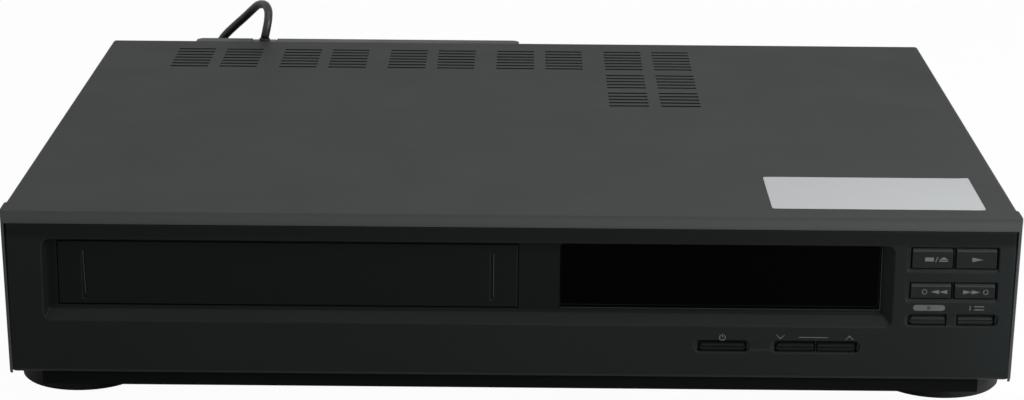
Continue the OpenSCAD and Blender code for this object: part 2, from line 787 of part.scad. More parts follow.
module front_board() color(board_color) {
  difference() {
    block([board_x0, in_y(board_in), board_z0],
       [board_x1, in_y(board_in) + board_t, board_z1]);
    block([board_x0 - 1, in_y(board_in) - 1, board_z0 - 1],
       [board_x0 + 14, in_y(board_in) + board_t + 1, board_z0 + 9]);
  }
  for (x = [board_x0 + 60, board_x0 + 110])
    block([x, in_y(board_in) + board_t, window_z - 6],
       [x + 22, in_y(board_in) + board_t + 3, window_z + 6]);
  block([board_x0 + 40, in_y(board_in) + board_t, board_z0 + 3],
     [board_x0 + 76, in_y(board_in) + board_t + 6, board_z0 + 9]);
}

/* Buttons */

stem_end = board_in - 5 - key_travel - 0.1;

// Where the stem of a button meets its switch
function stem_at(b) = [(b[0] + b[1]) / 2, b[2]];

module tact_switches() color(steel_color) {
  for (b = BUTTONS) {
    c = stem_at(b);
    block([c.x - 3, in_y(board_in - 3.4), c.y - 3], [c.x + 3, in_y(board_in), c.y + 3]);
    translate([c.x, in_y(board_in - 5), c.y]) rotate([-90, 0, 0]) cylinder(d = 3.2, h = 2);
  }
}

// A cap with its sloping upper edge, a flange behind the panel and a stem to the switch
module button(b) {
  z0 = b[2] - b[3] / 2;
  z1 = b[2] + b[3] / 2;
  face = b[4] ? 0.5 : 0.15;
  slope = b[4] ? 1 : 1.3;
  c = stem_at(b);
  color(panel_color) {
    along_x(b[0], b[1]) polygon([
      [in_y(face + 0.3), z0], [in_y(panel_t + 0.3), z0], [in_y(panel_t + 0.3), z1],
      [in_y(face + 1.2), z1], [in_y(face), z1 - slope], [in_y(face), z0 + 0.3]]);
    block([b[0], in_y(panel_t + 0.2), z0 - 1.2], [b[1], in_y(panel_t + 1.4), z1 + 1.2]);
    translate([c.x, in_y(panel_t + 1), c.y]) rotate([-90, 0, 0])
      cylinder(d = 3, h = stem_end - panel_t - 1);
  }
}

module button_stop() button(BUTTONS[0]);
module button_play() button(BUTTONS[1]);
module button_rewind() button(BUTTONS[2]);
module button_forward() button(BUTTONS[3]);
module button_record() button(BUTTONS[4]);
module button_speed() button(BUTTONS[5]);
module button_power() button(BUTTONS[6]);
module button_channel_down() button(BUTTONS[7]);
module button_channel_up() button(BUTTONS[8]);

/* Pan, feet and rear */

deck_x0 = bay_x - deck_w / 2;
deck_x1 = bay_x + deck_w / 2;
deck_y1 = in_y(deck_in + deck_d);
pan_in = 4;
pan_corner_w = 13;
pan_corner_d = 18.5;
deck_screws = [for (x = [bay_x - 88, bay_x + 88], d = [deck_in + 8, deck_in + deck_d - 8])
  [x, in_y(d)]];
rear_screws = [hump_x + hump_w + 14, half_w - 22.3];
rear_screw_z = pan_z + 6;
main_right = half_w - main_side;
main_x0 = deck_x1 + main_gap;
main_y1 = rear_front - 1.5;
main_y0 = in_y(main_front);
power_y1 = rear_front - 1.5;
power_y0 = deck_y1 + power_gap;
power_mid = (power_y0 + power_y1) / 2;
power_board_x = -half_w + power_board_side;
main_posts = [for (x = [main_x0 + 8, main_right - 8], y = [main_y0 + 8, (main_y0 + main_y1) / 2, main_y1 - 8])
  [x, y]];
power_posts = [for (x = [power_board_x + 8, power_board_x + power_board_w - 8],
  y = [power_y0 + 8, power_y1 - 8]) [x, y]];
foot_places = [for (side = [-1, 1], y = [in_y(foot_front), rear_y - foot_rear])
  [side * (half_w - foot_side), y]];

// The pan seen from above, its front corners cut away over the front feet
module pan_view(grow) {
  x = pan_half + grow;
  xf = x - pan_corner_w;
  y0 = in_y(pan_in) - grow;
  yf = in_y(pan_in + pan_corner_d) - grow;
  y1 = rear_front - 0.2 + grow;
  polygon([[-xf, y0], [xf, y0], [xf, yf], [x, yf], [x, y1], [-x, y1], [-x, yf], [-xf, yf]]);
}

module bottom_pan() color(case_color) difference() {
  union() {
    along_z(pan_z, floor_z) pan_view(0);
    difference() {
      along_z(pan_z, pan_z + pan_side_h) pan_view(0);
      along_z(floor_z - eps, top_z) pan_view(-pan_t);
      block([-half_w, in_y(0), panel_z - 0.2],
         [half_w, in_y(pan_in + pan_corner_d + pan_t + 1), top_z]);
      block([-half_w, rear_front - 2 * pan_t, pan_z + pan_back_h],
         [half_w, rear_back, top_z]);
    }
    for (p = deck_screws) rod([p.x, p.y, pan_z + 0.2], 8, deck_z - pan_z - 0.2);
    for (p = concat(main_posts, power_posts)) rod([p.x, p.y, pan_z + 0.2], 6, pcb_up - 0.2);
  }
  for (p = deck_screws) rod([p.x, p.y, deck_z - screw_l], screw_d + 2 * run_gap, screw_l + 1);
  for (side = [-1, 1], d = side_screw_in)
    translate([side * pan_half, in_y(d), side_screw_z])
      rotate([0, 90, 0]) cylinder(d = screw_d + 2 * run_gap, h = 8, center = true);
  for (x = rear_screws) translate([x, rear_front, rear_screw_z])
    rotate([90, 0, 0]) cylinder(d = screw_d + 2 * run_gap, h = 8, center = true);
  for (p = foot_places) rod([p.x, p.y, pan_z - 1], 4, 3);
  for (x = [30:14:156], y = [in_y(110), in_y(190)]) block([x, y, 0], [x + 5, y + 40, floor_z + 1]);
  for (x = [-150:14:-38]) block([x, in_y(252), 0], [x + 5, in_y(290), floor_z + 1]);
}

module feet() color(black_color) {
  for (p = foot_places) translate([p.x, p.y, 0]) {
    rotate_extrude($fn = 72) polygon([
      [6, 2.5], [6, 0.8], [foot_d / 2 - 5, 0.8], [foot_d / 2 - 4.6, 0],
      [foot_d / 2 - 0.7, 0], [foot_d / 2, 0.7], [foot_d / 2, foot_h - 0.6],
      [foot_d / 2 - 0.6, foot_h],
      [0, foot_h], [0, 2.5]]);
    rod([0, 0, foot_h - 0.5], 3.8, 0.5 + pan_t + 1);
  }
}

module rear_panel() color(case_color) difference() {
  along_y(rear_front, rear_back)
    round_rect([-pan_half, pan_z + 3.2], [pan_half, roof_z - 0.2], 1);
  block([hump_x + 10, rear_front - 1, hump_z + 8],
     [hump_x + hump_w - 10, rear_back + 1, roof_z - 10]);
  for (i = [0:1]) scart_hole(scart_x + i * scart_step);
  for (z = aerial_heights) translate([tuner_x, rear_back, z])
    rotate([90, 0, 0]) cylinder(d = aerial_d + 3.4, h = 8, center = true);
  for (x = rear_screws) translate([x, rear_back, rear_screw_z])
    rotate([90, 0, 0]) cylinder(d = screw_d + 0.6, h = 8, center = true);
  for (i = [0:7]) block([scart_x + 4 + i * 8, rear_front - 1, roof_z - 16],
             [scart_x + 6 + i * 8, rear_back + 1, roof_z - 6]);
}

cord_x = -135;
cord_y = rear_y + 3.6;
notch_wall = 1;
notch_wall_top = top_z - 1.6;
hump_back = rear_y + hump_out;

// The rear housing seen from above, shrunk by a wall
module hump_view(wall, y0) {
  x0 = hump_x + wall;
  x1 = hump_x + hump_w - wall;
  y1 = hump_back - wall;
  r = hump_r - wall;
  translate([x0, y0]) square([x1 - x0, y1 - r - y0]);
  translate([x0 + r, y0]) square([x1 - x0 - 2 * r, y1 - y0]);
  for (x = [x0 + r, x1 - r]) translate([x, y1 - r]) circle(r);
}

module rear_housing() color([0.30, 0.305, 0.31]) difference() {
  union() {
    difference() {
      along_z(hump_z, top_z - 0.1) hump_view(0, rear_back);
      along_z(hump_z + hump_t, top_z - 0.1 - hump_t) hump_view(hump_t, rear_back - 1);
    }
    block([cord_x - notch_w / 2 - 2.5, rear_back, notch_z - 14],
       [cord_x + notch_w / 2 + 2.5, hump_back, top_z - 0.1 - hump_t + eps]);
  }
  block([hump_x - 1, rear_back - 1, roof_z - 0.2], [hump_x + hump_w + 1, rear_y + 0.2, top_z + 1]);
  block([cord_x - notch_w / 2, rear_y + 0.2, notch_z],
     [cord_x + notch_w / 2, hump_back - notch_wall, top_z + 1]);
  block([cord_x - notch_w / 2, rear_y + 0.2, notch_wall_top],
     [cord_x + notch_w / 2, hump_back + 1, top_z + 1]);
  rod([cord_x, cord_y, notch_z - 8], 5.4 + 0.2, 9);
}

// One screw with its low head, the shank along +Z
module screw() {
  rotate_extrude() polygon([
    [0, -screw_head_h], [screw_head_d / 2 - 0.6, -screw_head_h],
    [screw_head_d / 2, -screw_head_h + 0.5], [screw_head_d / 2, 0],
    [screw_d / 2, 0], [screw_d / 2, screw_l - 0.5], [0, screw_l]]);
}

module screws() color(steel_color) {
  for (side = [-1, 1], d = side_screw_in)
    translate([side * screw_face, in_y(d), side_screw_z]) rotate([0, -90 * side, 0]) screw();
  for (x = rear_screws) translate([x, rear_back, rear_screw_z]) rotate([90, 0, 0]) screw();
  for (p = deck_screws) translate([p.x, p.y, deck_top]) rotate([180, 0, 0]) screw();
}

/* Boards and sockets */

module main_board() color(board_color) {
  block([main_x0, main_y0, pcb_z], [main_right, main_y1, pcb_top]);
  for (i = [0:2], j = [0:1])
    block([main_x0 + 20 + j * 84, main_y0 + 24 + i * 46, pcb_top],
       [main_x0 + 44 + j * 84, main_y0 + 40 + i * 46, pcb_top + 3]);
  for (i = [0:5]) rod([main_x0 + 60 + (i % 3) * 14, main_y0 + 30 + i * 22, pcb_top - 0.1], 8, 12);
}

tuner_x = main_right - tuner_side;
scart_x = tuner_x - tuner_w / 2 - scart_gap - scart_step - scart_w;
aerial_heights = [pcb_top + 12, pcb_top + 12 + aerial_step];

module tuner_can() color(zinc_color) difference() {
  union() {
    block([tuner_x - tuner_w / 2, rear_front - 0.4 - tuner_d, pcb_top],
       [tuner_x + tuner_w / 2, rear_front - 0.4, pcb_top + tuner_h]);
    for (z = aerial_heights) translate([tuner_x, rear_front - 1, z])
      rotate([-90, 0, 0]) cylinder(d = aerial_d + 2.6, h = 1 + rear_t);
    for (i = [0, 1]) translate([tuner_x, rear_front - 1, aerial_heights[i]])
      rotate([-90, 0, 0]) cylinder(d = aerial_d + 2.6 * i, h = 1 + rear_t + aerial_l);
  }
  for (i = [0, 1]) translate([tuner_x, rear_back, aerial_heights[i]])
    rotate([-90, 0, 0]) cylinder(d = aerial_d - 1.4 * (1 - i), h = aerial_l + 1);
}

scart_z = pcb_top + 1 + scart_h / 2;

// The opening of the rear panel for one audio and video socket
module scart_hole(x) {
  block([x - 0.4, rear_front - 1, scart_z - scart_h / 2 - 0.4],
     [x + scart_w + 0.4, rear_back + 1, scart_z + scart_h / 2 + 0.4]);
}

// One 21-pole audio and video socket: a shell with one slanted end, a ring gap and its contact block
module scart(x) {
  z0 = scart_z - scart_h / 2;
  z1 = scart_z + scart_h / 2;
  face = rear_back + 3;
  difference() {
    union() {
      block([x, rear_front - 17, z0], [x + scart_w, face, z1]);
      block([x + 5, rear_front - 17, pcb_top], [x + scart_w - 5, rear_front - 2, z0 + eps]);
    }
    difference() {
      along_y(face - 9, face + 1) polygon([
        [x + 1.6, z0 + 1.6], [x + scart_w - 1.6, z0 + 1.6], [x + scart_w - 1.6, z1 - 1.6],
        [x + 5.4, z1 - 1.6], [x + 1.6, z1 - 6]]);
      block([x + 4.6, face - 10, z0 + 4.8], [x + scart_w - 4.4, face - 0.6, z1 - 4.8]);
    }
    for (i = [0:9], row = [0, 1])
      block([x + 6.8 + i * 3.8 + row * 1.9, face - 6, scart_z - 2 + row * 2.4],
         [x + 7.8 + i * 3.8 + row * 1.9, face, scart_z - 0.4 + row * 2.4]);
  }
}

module av_sockets() color(black_color) {
  for (i = [0:1]) scart(scart_x + i * scart_step);
}

module power_board() color(board_color) {
  block([power_board_x, power_y0, pcb_z], [power_board_x + power_board_w, power_y1, pcb_top]);
  for (i = [0:2]) rod([power_board_x + 84 + i * 20, power_mid, pcb_top - 0.1], 16, 26);
  block([power_board_x + 144, power_mid - 12, pcb_top],
     [power_board_x + 168, power_mid + 12, pcb_top + 20]);
}

// The laminated core with its winding between two limbs
module transformer() color(steel_color) {
  x0 = power_board_x + 14;
  depth = 42;
  y0 = power_mid - depth / 2 + 3;
  difference() {
    block([x0, y0, pcb_top], [x0 + core_w, y0 + depth - 6, pcb_top + core_h]);
    block([x0 + 8, y0 - 1, pcb_top + 7], [x0 + 17, y0 + depth, pcb_top + core_h - 7]);
    block([x0 + core_w - 17, y0 - 1, pcb_top + 7],
       [x0 + core_w - 8, y0 + depth, pcb_top + core_h - 7]);
  }
  difference() {
    block([x0 + 8.2, y0 - 4, pcb_top + 7.2],
       [x0 + core_w - 8.2, y0 + depth - 2, pcb_top + core_h - 7.2]);
    block([x0 + 17 - eps, y0 - 5, pcb_top + 6],
       [x0 + core_w - 17 + eps, y0 + depth, pcb_top + core_h - 6]);
  }
}

// An extruded heat sink with upright fins on the main board
module heat_sink() color([0.13, 0.13, 0.14]) {
  x0 = main_x0 + 24;
  y0 = main_y1 - 104;
  block([x0, y0 + 20, pcb_top], [x0 + sink_w, y0 + 23, pcb_top + sink_h]);
  for (i = [0:8]) {
    x = x0 + i * (sink_w - 1.4) / 8;
    block([x, y0, pcb_top], [x + 1.4, y0 + 20 + eps, pcb_top + sink_h]);
  }
}

/* Deck and loading cage */

cage_half = flap_w / 2 + 0.6;
slider_half = cage_half - slide_gap;
holder_half = slider_half - sheet_t - slide_gap;
tape_z = flap_z - 0.3;
holder_y = in_y(holder_in);
guide_pin_z = tape_z + tape_h - 6.4;
guide_pins = [holder_y + 12, holder_y + holder_d - 8];
cage_top = deck_top + cage_h;
slider_top = cage_top + slide_gap;
reel_y = in_y(seat_d - reel_in);
drum_y = in_y(drum_in);
capstan = [bay_x + capstan_x, in_y(capstan_in)];
pinch_pivot = capstan + [26, 14];
cam_centre = [bay_x + 78, in_y(186)];
cam_teeth = 24;
pinion_teeth = 10;
pinion_centre = cam_centre + [0, gear_module * (cam_teeth + pinion_teeth) / 2];
idler_pivot = [bay_x, reel_y + idler_l];
tension_pivot = [bay_x - 74, in_y(153)];
guide_start = [24, 127];
guide_path = [18, 65];
guide_unit = guide_path / norm(guide_path);
gear_z = deck_top + 2;

// The slot that a tape guide runs in, seen from above; side is -1 on the left
module guide_slot_view(side, w) {
  a = atan2(guide_unit.y, side * guide_unit.x);
  translate([bay_x + side * guide_start.x, in_y(guide_start.y)]) rotate(a) {
    translate([0, -w / 2]) square([guide_travel + 1, w]);
    circle(d = w);
    translate([guide_travel + 1, 0]) circle(d = w);
  }
}

module deck_plate() color(zinc_color) difference() {
  union() {
    block([deck_x0, in_y(deck_in), deck_z], [deck_x1, deck_y1, deck_top]);
    for (side = [-1, 1]) rod([bay_x + side * reel_pitch / 2, reel_y, deck_z], 3, 17);
    rod([cam_centre.x, cam_centre.y, deck_z], 4, gear_h + 5);
    rod([pinch_pivot.x, pinch_pivot.y, deck_z], 3, 12);
    rod([idler_pivot.x, idler_pivot.y, deck_z], 3, 8);
    rod([tension_pivot.x, tension_pivot.y, deck_z], 3, 8);
    block([deck_x0, in_y(deck_in), deck_z - 3], [deck_x1, in_y(deck_in) + deck_t, deck_top]);
    block([deck_x0, deck_y1 - deck_t, deck_z - 3], [deck_x1, deck_y1, deck_top]);
  }
  for (p = deck_screws) rod([p.x, p.y, deck_z - 1], screw_d + 0.6, 4);
  along_z(deck_z - 1, deck_top + 1) {
    guide_slot_view(-1, 4.4);
    guide_slot_view(1, 4.4);
  }
  rod([capstan.x, capstan.y, deck_z - 1], 8.4, 4);
  block([bay_x - 22, in_y(deck_in + 10), deck_z - 1], [bay_x + 22, in_y(deck_in + 34), deck_top + 1]);
  rod([bay_x, drum_y, deck_z - 1], 12, 4);
}

// One side plate of the cage: the window clears the holder's pins over both of its travels
module cage_side(side) color(zinc_color) {
  x = bay_x + side * cage_half;
  x_out = x + side * sheet_t;
  x_foot = x + side * 7;
  clear = guide_pin_d / 2 + 0.6;
  y0 = in_y(cage_in);
  difference() {
    block([min(x, x_out), y0, deck_top], [max(x, x_out), y0 + cage_d, cage_top]);
    block([min(x, x_out) - 1, guide_pins[0] - clear, guide_pin_z - lower_by - clear],
       [max(x, x_out) + 1, guide_pins[1] + draw_in + clear, guide_pin_z + clear]);
  }
  block([min(x, x_foot), y0, deck_top], [max(x, x_foot), y0 + cage_d, deck_top + sheet_t]);
}

module cage_left() cage_side(-1);
module cage_right() cage_side(1);

// The fixed brace across the back of the cage, above the drum's front edge
module cage_bridge() color(zinc_color) {
  y1 = in_y(cage_in + cage_d);
  y0 = y1 - 16;
  x = cage_half + sheet_t;
  block([bay_x - x, y0, cage_top], [bay_x + x, y1, cage_top + sheet_t]);
  for (side = [-1, 1])
    block([bay_x + side * (x + sheet_t / 2) - sheet_t / 2, y0, cage_top - 9],
       [bay_x + side * (x + sheet_t / 2) + sheet_t / 2, y1, cage_top + sheet_t]);
}

// The sliding frame that draws the holder in; it rides on the cage's top edges
module loading_slider() color(steel_color) {
  clear = guide_pin_d / 2 + 0.15;
  y0 = holder_y + 6;
  y1 = holder_y + holder_d;
  x_in = slider_half - sheet_t;
  z0 = guide_pin_z - lower_by - clear - 2.5;
  block([bay_x - cage_half - sheet_t, y1 - 28, slider_top],
     [bay_x + cage_half + sheet_t, y1, slider_top + sheet_t]);
  for (side = [-1, 1]) difference() {
    block([bay_x + side * (x_in + sheet_t / 2) - sheet_t / 2, y0, z0],
       [bay_x + side * (x_in + sheet_t / 2) + sheet_t / 2, y1, slider_top + eps]);
    for (y = guide_pins)
      block([bay_x + side * x_in - 3, y - clear, guide_pin_z - lower_by - clear],
         [bay_x + side * x_in + 3, y + clear, guide_pin_z + clear]);
  }
}

// The tray that takes the cassette: roof, sides, two ledges below, stops at the back
module cassette_holder() color(zinc_color) {
  y1 = holder_y + holder_d;
  roof = tape_z + tape_h + 0.5;
  ledge = tape_z - 0.2;
  difference() {
    block([bay_x - holder_half, holder_y, ledge - sheet_t],
       [bay_x + holder_half, y1, roof + sheet_t]);
    block([bay_x - holder_half + sheet_t, holder_y - 1, ledge],
       [bay_x + holder_half - sheet_t, y1 + 1, roof]);
    block([bay_x - holder_half + 12, holder_y - 1, ledge - 3],
       [bay_x + holder_half - 12, y1 + 1, ledge + 1]);
  }
  for (side = [-1, 1]) {
    for (y = guide_pins) translate([bay_x + side * (holder_half - eps), y, guide_pin_z])
      rotate([0, 90 * side, 0]) cylinder(d = guide_pin_d, h = cage_half - holder_half + 0.8);
    block([bay_x + side * (holder_half - 4) - 4, y1 - sheet_t, ledge - eps],
       [bay_x + side * (holder_half - 4) + 4, y1, ledge + 8]);
  }
}

/* Loading gears */

// Involute tooth flank: the point at a given roll angle on a base circle
function involute(rb, a) = rb * [cos(a) + a * PI / 180 * sin(a), sin(a) - a * PI / 180 * cos(a)];

// One gear outline, each tooth with a rising and a falling involute flank
module gear_view(teeth) {
  m = gear_module;
  rp = m * teeth / 2;
  rb = rp * cos(20);
  ra = rp + 0.9 * m;
  rf = rp - 1.15 * m;
  pitch_roll = tan(20) * 180 / PI;
  tip_roll = sqrt(pow(ra / rb, 2) - 1) * 180 / PI;
  pitch_lag = pitch_roll - 20;
  half_tooth = 90 / teeth - backlash / 4 / rp * 180 / PI;
  low = max(0, sqrt(max(0, pow(rf / rb, 2) - 1)) * 180 / PI);
  steps = 3;
  flank = [for (i = [0:steps]) let (a = low + (tip_roll - low) * i / steps, p = involute(rb, a))
    [norm(p), atan2(p.y, p.x) - pitch_lag - half_tooth]];
  root = rf < rb ? [[rf, flank[0][1]]] : [];
  side = concat(root, flank);
  polygon([for (t = [0:teeth - 1]) each concat(
    [for (q = side) q[0] * [cos(360 * t / teeth + q[1]), sin(360 * t / teeth + q[1])]],
    [for (i = [len(side) - 1:-1:0]) let (q = side[i])
      q[0] * [cos(360 * t / teeth - q[1]), sin(360 * t / teeth - q[1])]])]);
}

module cam_gear() color(cream_color) {
  translate([cam_centre.x, cam_centre.y, gear_z]) difference() {
    union() {
      rotate(90) linear_extrude(gear_h) gear_view(cam_teeth);
      translate([0, 0, -1.8]) cylinder(d = 9, h = 2);
    }
    translate([0, 0, -3]) cylinder(d = 4 + 2 * run_gap, h = gear_h + 6);
    translate([0, 0, gear_h - 1.5]) difference() {
      cylinder(d = 2 * 10.6, h = 3);
      translate([0, 0, -1]) cylinder(d = 2 * 7, h = 5);
    }
  }
}

motor_z = gear_z + gear_h + 3;

module motor_pinion() color(cream_color) {
  translate([pinion_centre.x, pinion_centre.y, gear_z]) difference() {
    rotate(-90 + 180 / pinion_teeth) linear_extrude(gear_h) gear_view(pinion_teeth);
    translate([0, 0, -1]) cylinder(d = 2 + 2 * run_gap, h = gear_h + 3);
  }
}

module loading_motor() color(steel_color) {
  translate([pinion_centre.x, pinion_centre.y, 0]) {
    rod([0, 0, motor_z], 22, 22);
    rod([0, 0, motor_z + 22 - eps], 8, 2);
    rod([0, 0, gear_z + 0.4], 2, motor_z - gear_z);
    for (side = [-1, 1]) {
      block([side * 13 - 2, 1, deck_top], [side * 13 + 2, 9, motor_z + 1.2]);
      block([side * 9 - 5.5, 1, motor_z], [side * 9 + 5.5, 9, motor_z + 1.2]);
    }
  }
}

/* Drum and tape path */

// Places its children on the drum's leaning axis, from the deck's top
module on_drum() {
  translate([bay_x, drum_y, deck_top]) rotate([drum_lean, 0, 0]) children();
}

drum_base = 6;
drum_split = drum_base + drum_low_h + 0.3;

module lower_drum() color([0.78, 0.78, 0.79]) {
  difference() {
    union() {
      on_drum() rod([0, 0, drum_base], drum_d, drum_low_h);
      intersection() {
        on_drum() rod([0, 0, -6], 34, drum_base + 8);
        block([bay_x - 40, drum_y - 40, deck_top], [bay_x + 40, drum_y + 40, deck_top + 20]);
      }
    }
    on_drum() rod([0, 0, 1], 6 + 2 * run_gap, 60);
    on_drum() difference() {
      rod([0, 0, drum_split - 4.3], drum_d - 8, 10);
      rod([0, 0, drum_split - 6], 16, 12);
    }
  }
}

module upper_drum() color([0.82, 0.82, 0.83]) on_drum() {
  difference() {
    rod([0, 0, drum_split], drum_d, drum_high_h);
    for (side = [-1, 1]) block([side * (drum_d / 2 - 1) - 1.5, -2, drum_split - 1],
                 [side * (drum_d / 2 - 1) + 1.5, 2, drum_split + 2.4]);
    for (a = [60:120:300]) rotate(a) rod([drum_d / 2 - 9, 0, drum_split + drum_high_h - 3], 3, 4);
    rod([0, 0, drum_split + drum_high_h - 1.4], 40, 3);
  }
  rod([0, 0, drum_split + drum_high_h - 2], 14, 6);
  rod([0, 0, 4], 6, drum_split);
}

module head_amp_can() color(zinc_color) {
  block([bay_x - 86, deck_y1 - 44, deck_top], [bay_x - 58, deck_y1 - 16, deck_top + 16]);
  block([bay_x - 82, deck_y1 - 48, deck_top], [bay_x - 62, deck_y1 - 44 + eps, deck_top + 6]);
}

bearing_d = 8;
roller_up = 8;

module capstan_bearing() color([0.70, 0.58, 0.30]) difference() {
  union() {
    rod([capstan.x, capstan.y, deck_z - 1.6], bearing_d, deck_t + roller_up);
    rod([capstan.x, capstan.y, deck_top], 15, 2);
  }
  rod([capstan.x, capstan.y, deck_z - 3], capstan_d + 2 * run_gap, 30);
}

module capstan_stator() color(copper_color) difference() {
  union() {
    rod([capstan.x, capstan.y, deck_z - 1.4], rotor_d + 3, 1.4);
    for (a = [0:60:300]) translate([capstan.x, capstan.y, 0]) rotate(a)
      rod([14, 0, deck_z - 2], 10, 1);
  }
  rod([capstan.x, capstan.y, deck_z - 4], bearing_d + 0.4, 8);
}

module capstan_rotor() color([0.70, 0.71, 0.72]) {
  rotor_top = deck_z - 2.4;
  difference() {
    rod([capstan.x, capstan.y, rotor_top - 5.2], rotor_d, 5.2);
    translate([capstan.x, capstan.y, rotor_top - 1.2]) difference() {
      cylinder(d = rotor_d - 6, h = 3);
      translate([0, 0, -1]) cylinder(d = 12, h = 5);
    }
  }
  rod([capstan.x, capstan.y, rotor_top - 5.2], capstan_d, 38);
}

pinch_rest = 177.2;
roller_at = pinch_pivot + pinch_l * [cos(pinch_rest), sin(pinch_rest)];

module pinch_arm() color(steel_color) {
  difference() {
    union() {
      rod([pinch_pivot.x, pinch_pivot.y, deck_top + 0.3], 8, 6);
      rod([roller_at.x, roller_at.y, deck_top + 2.3], 8, 2);
      translate([pinch_pivot.x, pinch_pivot.y, deck_top + 2.3]) rotate(pinch_rest)
        translate([0, -4, 0]) cube([pinch_l, 8, 2]);
      rod([roller_at.x, roller_at.y, deck_top + 3], 3, 23);
    }
    rod([pinch_pivot.x, pinch_pivot.y, deck_z], 3 + 2 * run_gap, 20);
  }
}

module pinch_roller() color(black_color) difference() {
  rod([roller_at.x, roller_at.y, deck_top + roller_up], roller_d, 15);
  rod([roller_at.x, roller_at.y, deck_top + roller_up - 2], 3 + 2 * run_gap, 20);
}

// A reel table: toothed rim, skirt and a three-winged spindle
module reel_table(side) {
  translate([bay_x + side * reel_pitch / 2, reel_y, deck_top + 0.4]) difference() {
    union() {
      cylinder(d = reel_d, h = 1.4);
      cylinder(d = reel_d - 3, h = 4.2);
      cylinder(d = 12, h = 6);
      cylinder(d = 7.6, h = 18.5);
      for (a = [0:120:240]) rotate(a) translate([0, -0.9, 0]) cube([5.6, 1.8, 15]);
    }
    translate([0, 0, -1]) cylinder(d = 3 + 2 * run_gap, h = 17.5);
  }
}

module supply_reel() color(black_color) reel_table(-1);
module takeup_reel() color(black_color) reel_table(1);

module idler_arm() color(steel_color) difference() {
  union() {
    rod([idler_pivot.x, idler_pivot.y, deck_top + 0.3], 7, 5);
    block([idler_pivot.x - 3.5, reel_y, deck_top + 3.8],
       [idler_pivot.x + 3.5, idler_pivot.y, deck_top + 5.3]);
    rod([bay_x, reel_y, deck_top + 3.8], 7, 1.5);
    rod([bay_x, reel_y, deck_top + 0.4], 2, 4);
  }
  rod([idler_pivot.x, idler_pivot.y, deck_z], 3 + 2 * run_gap, 20);
}

module idler_wheel() color(black_color) difference() {
  rod([bay_x, reel_y, deck_top + 0.6], idler_d, 2.8);
  rod([bay_x, reel_y, deck_z], 2 + 2 * run_gap, 8);
}

// A tape guide: foot on the deck, keeper below it, upright roller and a leaning post
module tape_guide(side) {
  p = [bay_x + side * guide_start.x, in_y(guide_start.y)];
  translate([p.x, p.y, 0]) {
    rod([0, 0, deck_top + 0.2], 10, 3);
    rod([0, 0, deck_z - 1.4], 4, deck_t + 2);
    rod([0, 0, deck_z - 1.6], 7, 1.3);
    rod([0, 0, deck_top + 3], 3, 28);
    rod([0, 0, deck_top + 8], 6, 16);
    rod([0, 0, deck_top + 27], 7, 3);
  }
}

module guide_left() color(steel_color) tape_guide(-1);
module guide_right() color(steel_color) tape_guide(1);

tension_l = 22;
tension_rest = -15;
tension_post = tension_pivot + tension_l * [cos(tension_rest), sin(tension_rest)];

module tension_arm() color(steel_color) difference() {
  union() {
    rod([tension_pivot.x, tension_pivot.y, deck_top + 0.3], 8, 5);
    translate([tension_pivot.x, tension_pivot.y, deck_top + 1.8]) rotate(tension_rest)
      translate([0, -3, 0]) cube([tension_l, 6, 1.6]);
    rod([tension_post.x, tension_post.y, deck_top + 1.8], 7, 1.6);
    rod([tension_post.x, tension_post.y, deck_top + 3], 4, 24);
  }
  rod([tension_pivot.x, tension_pivot.y, deck_z], 3 + 2 * run_gap, 20);
}

// A tape head on its post, turned to face the tape
module tape_head(x, d, turn) {
  translate([bay_x + x, in_y(d), 0]) rotate(turn) {
    block([-6, -5, deck_top], [6, 5, deck_top + 2]);
    rod([0, 0, deck_top], 5, 12);
    block([-5, -4, deck_top + 10], [5, 3, deck_top + 27]);
    intersection() {
      rod([0, 0, deck_top + 11], 10, 15);
      block([-5, -5, deck_top + 11], [5, -3, deck_top + 26]);
    }
  }
}

module erase_head() color(steel_color) tape_head(-62, 170, 25);
module sound_head() color(steel_color) tape_head(54, 178, -30);

/* Mains lead */

relief_l = top_z + 1 - notch_z;

module cord_relief() color(black_color) {
  translate([cord_x, cord_y, 0]) {
    rod([0, 0, notch_z - 8], 5.4, 8);
    translate([0, 0, notch_z]) rotate_extrude() polygon([
      [0, 0], [3.2, 0], [3.2, 2], [3, 3], [3, relief_l - 8], [2.9, relief_l], [0, relief_l]]);
    for (i = [0:4]) translate([0, 0, notch_z + 6 + i * 3.6])
      rotate_extrude() polygon([[2, 0], [3.2, 0.3], [3.2, 1.5], [2, 1.8]]);
  }
}

// The coil: piled loops that spiral in and out, climbing a layer where the spiral reverses
coil_centre = [-133.5, 208];
coil_lift = 1;
coil_turn = 360 * layer_turns;
coil_outer = coil_r + layer_turns * coil_step;
coil_low = coil_lift + cord_d / 2;
coil_high = coil_low + (layers - 1) * layer_step;
RINGS = 24;
SIDES = 6;

function coil_layer(t) = min(layers - 1, floor(t / coil_turn));
function coil_radius(t) =
  let (k = coil_layer(t), part = (t - k * coil_turn) / coil_turn)
  k % 2 == 0 ? coil_outer - (coil_outer - coil_r) * part : coil_r + (coil_outer - coil_r) * part;
function coil_rise(t) =
  let (k = round(t / coil_turn), off = t - k * coil_turn)
  k < 1 || k > layers - 1 ? coil_layer(t)
  : abs(off) >= 90 ? coil_layer(t) : k - 0.5 + off / 180;
function coil_point(t) =
  [coil_centre.x - coil_radius(t) * cos(t), coil_centre.y - coil_radius(t) * sin(t),
  coil_low + coil_rise(t) * layer_step];
coil_steps = layers * layer_turns * RINGS;
coil_start = coil_point(0);
coil_end = coil_point(layers * coil_turn);
coil_points = concat(
  [coil_start + [0, cord_d, 0]],
  [for (i = [0:coil_steps]) coil_point(i * 360 / RINGS)],
  [coil_end - [0, cord_d, 0]]);

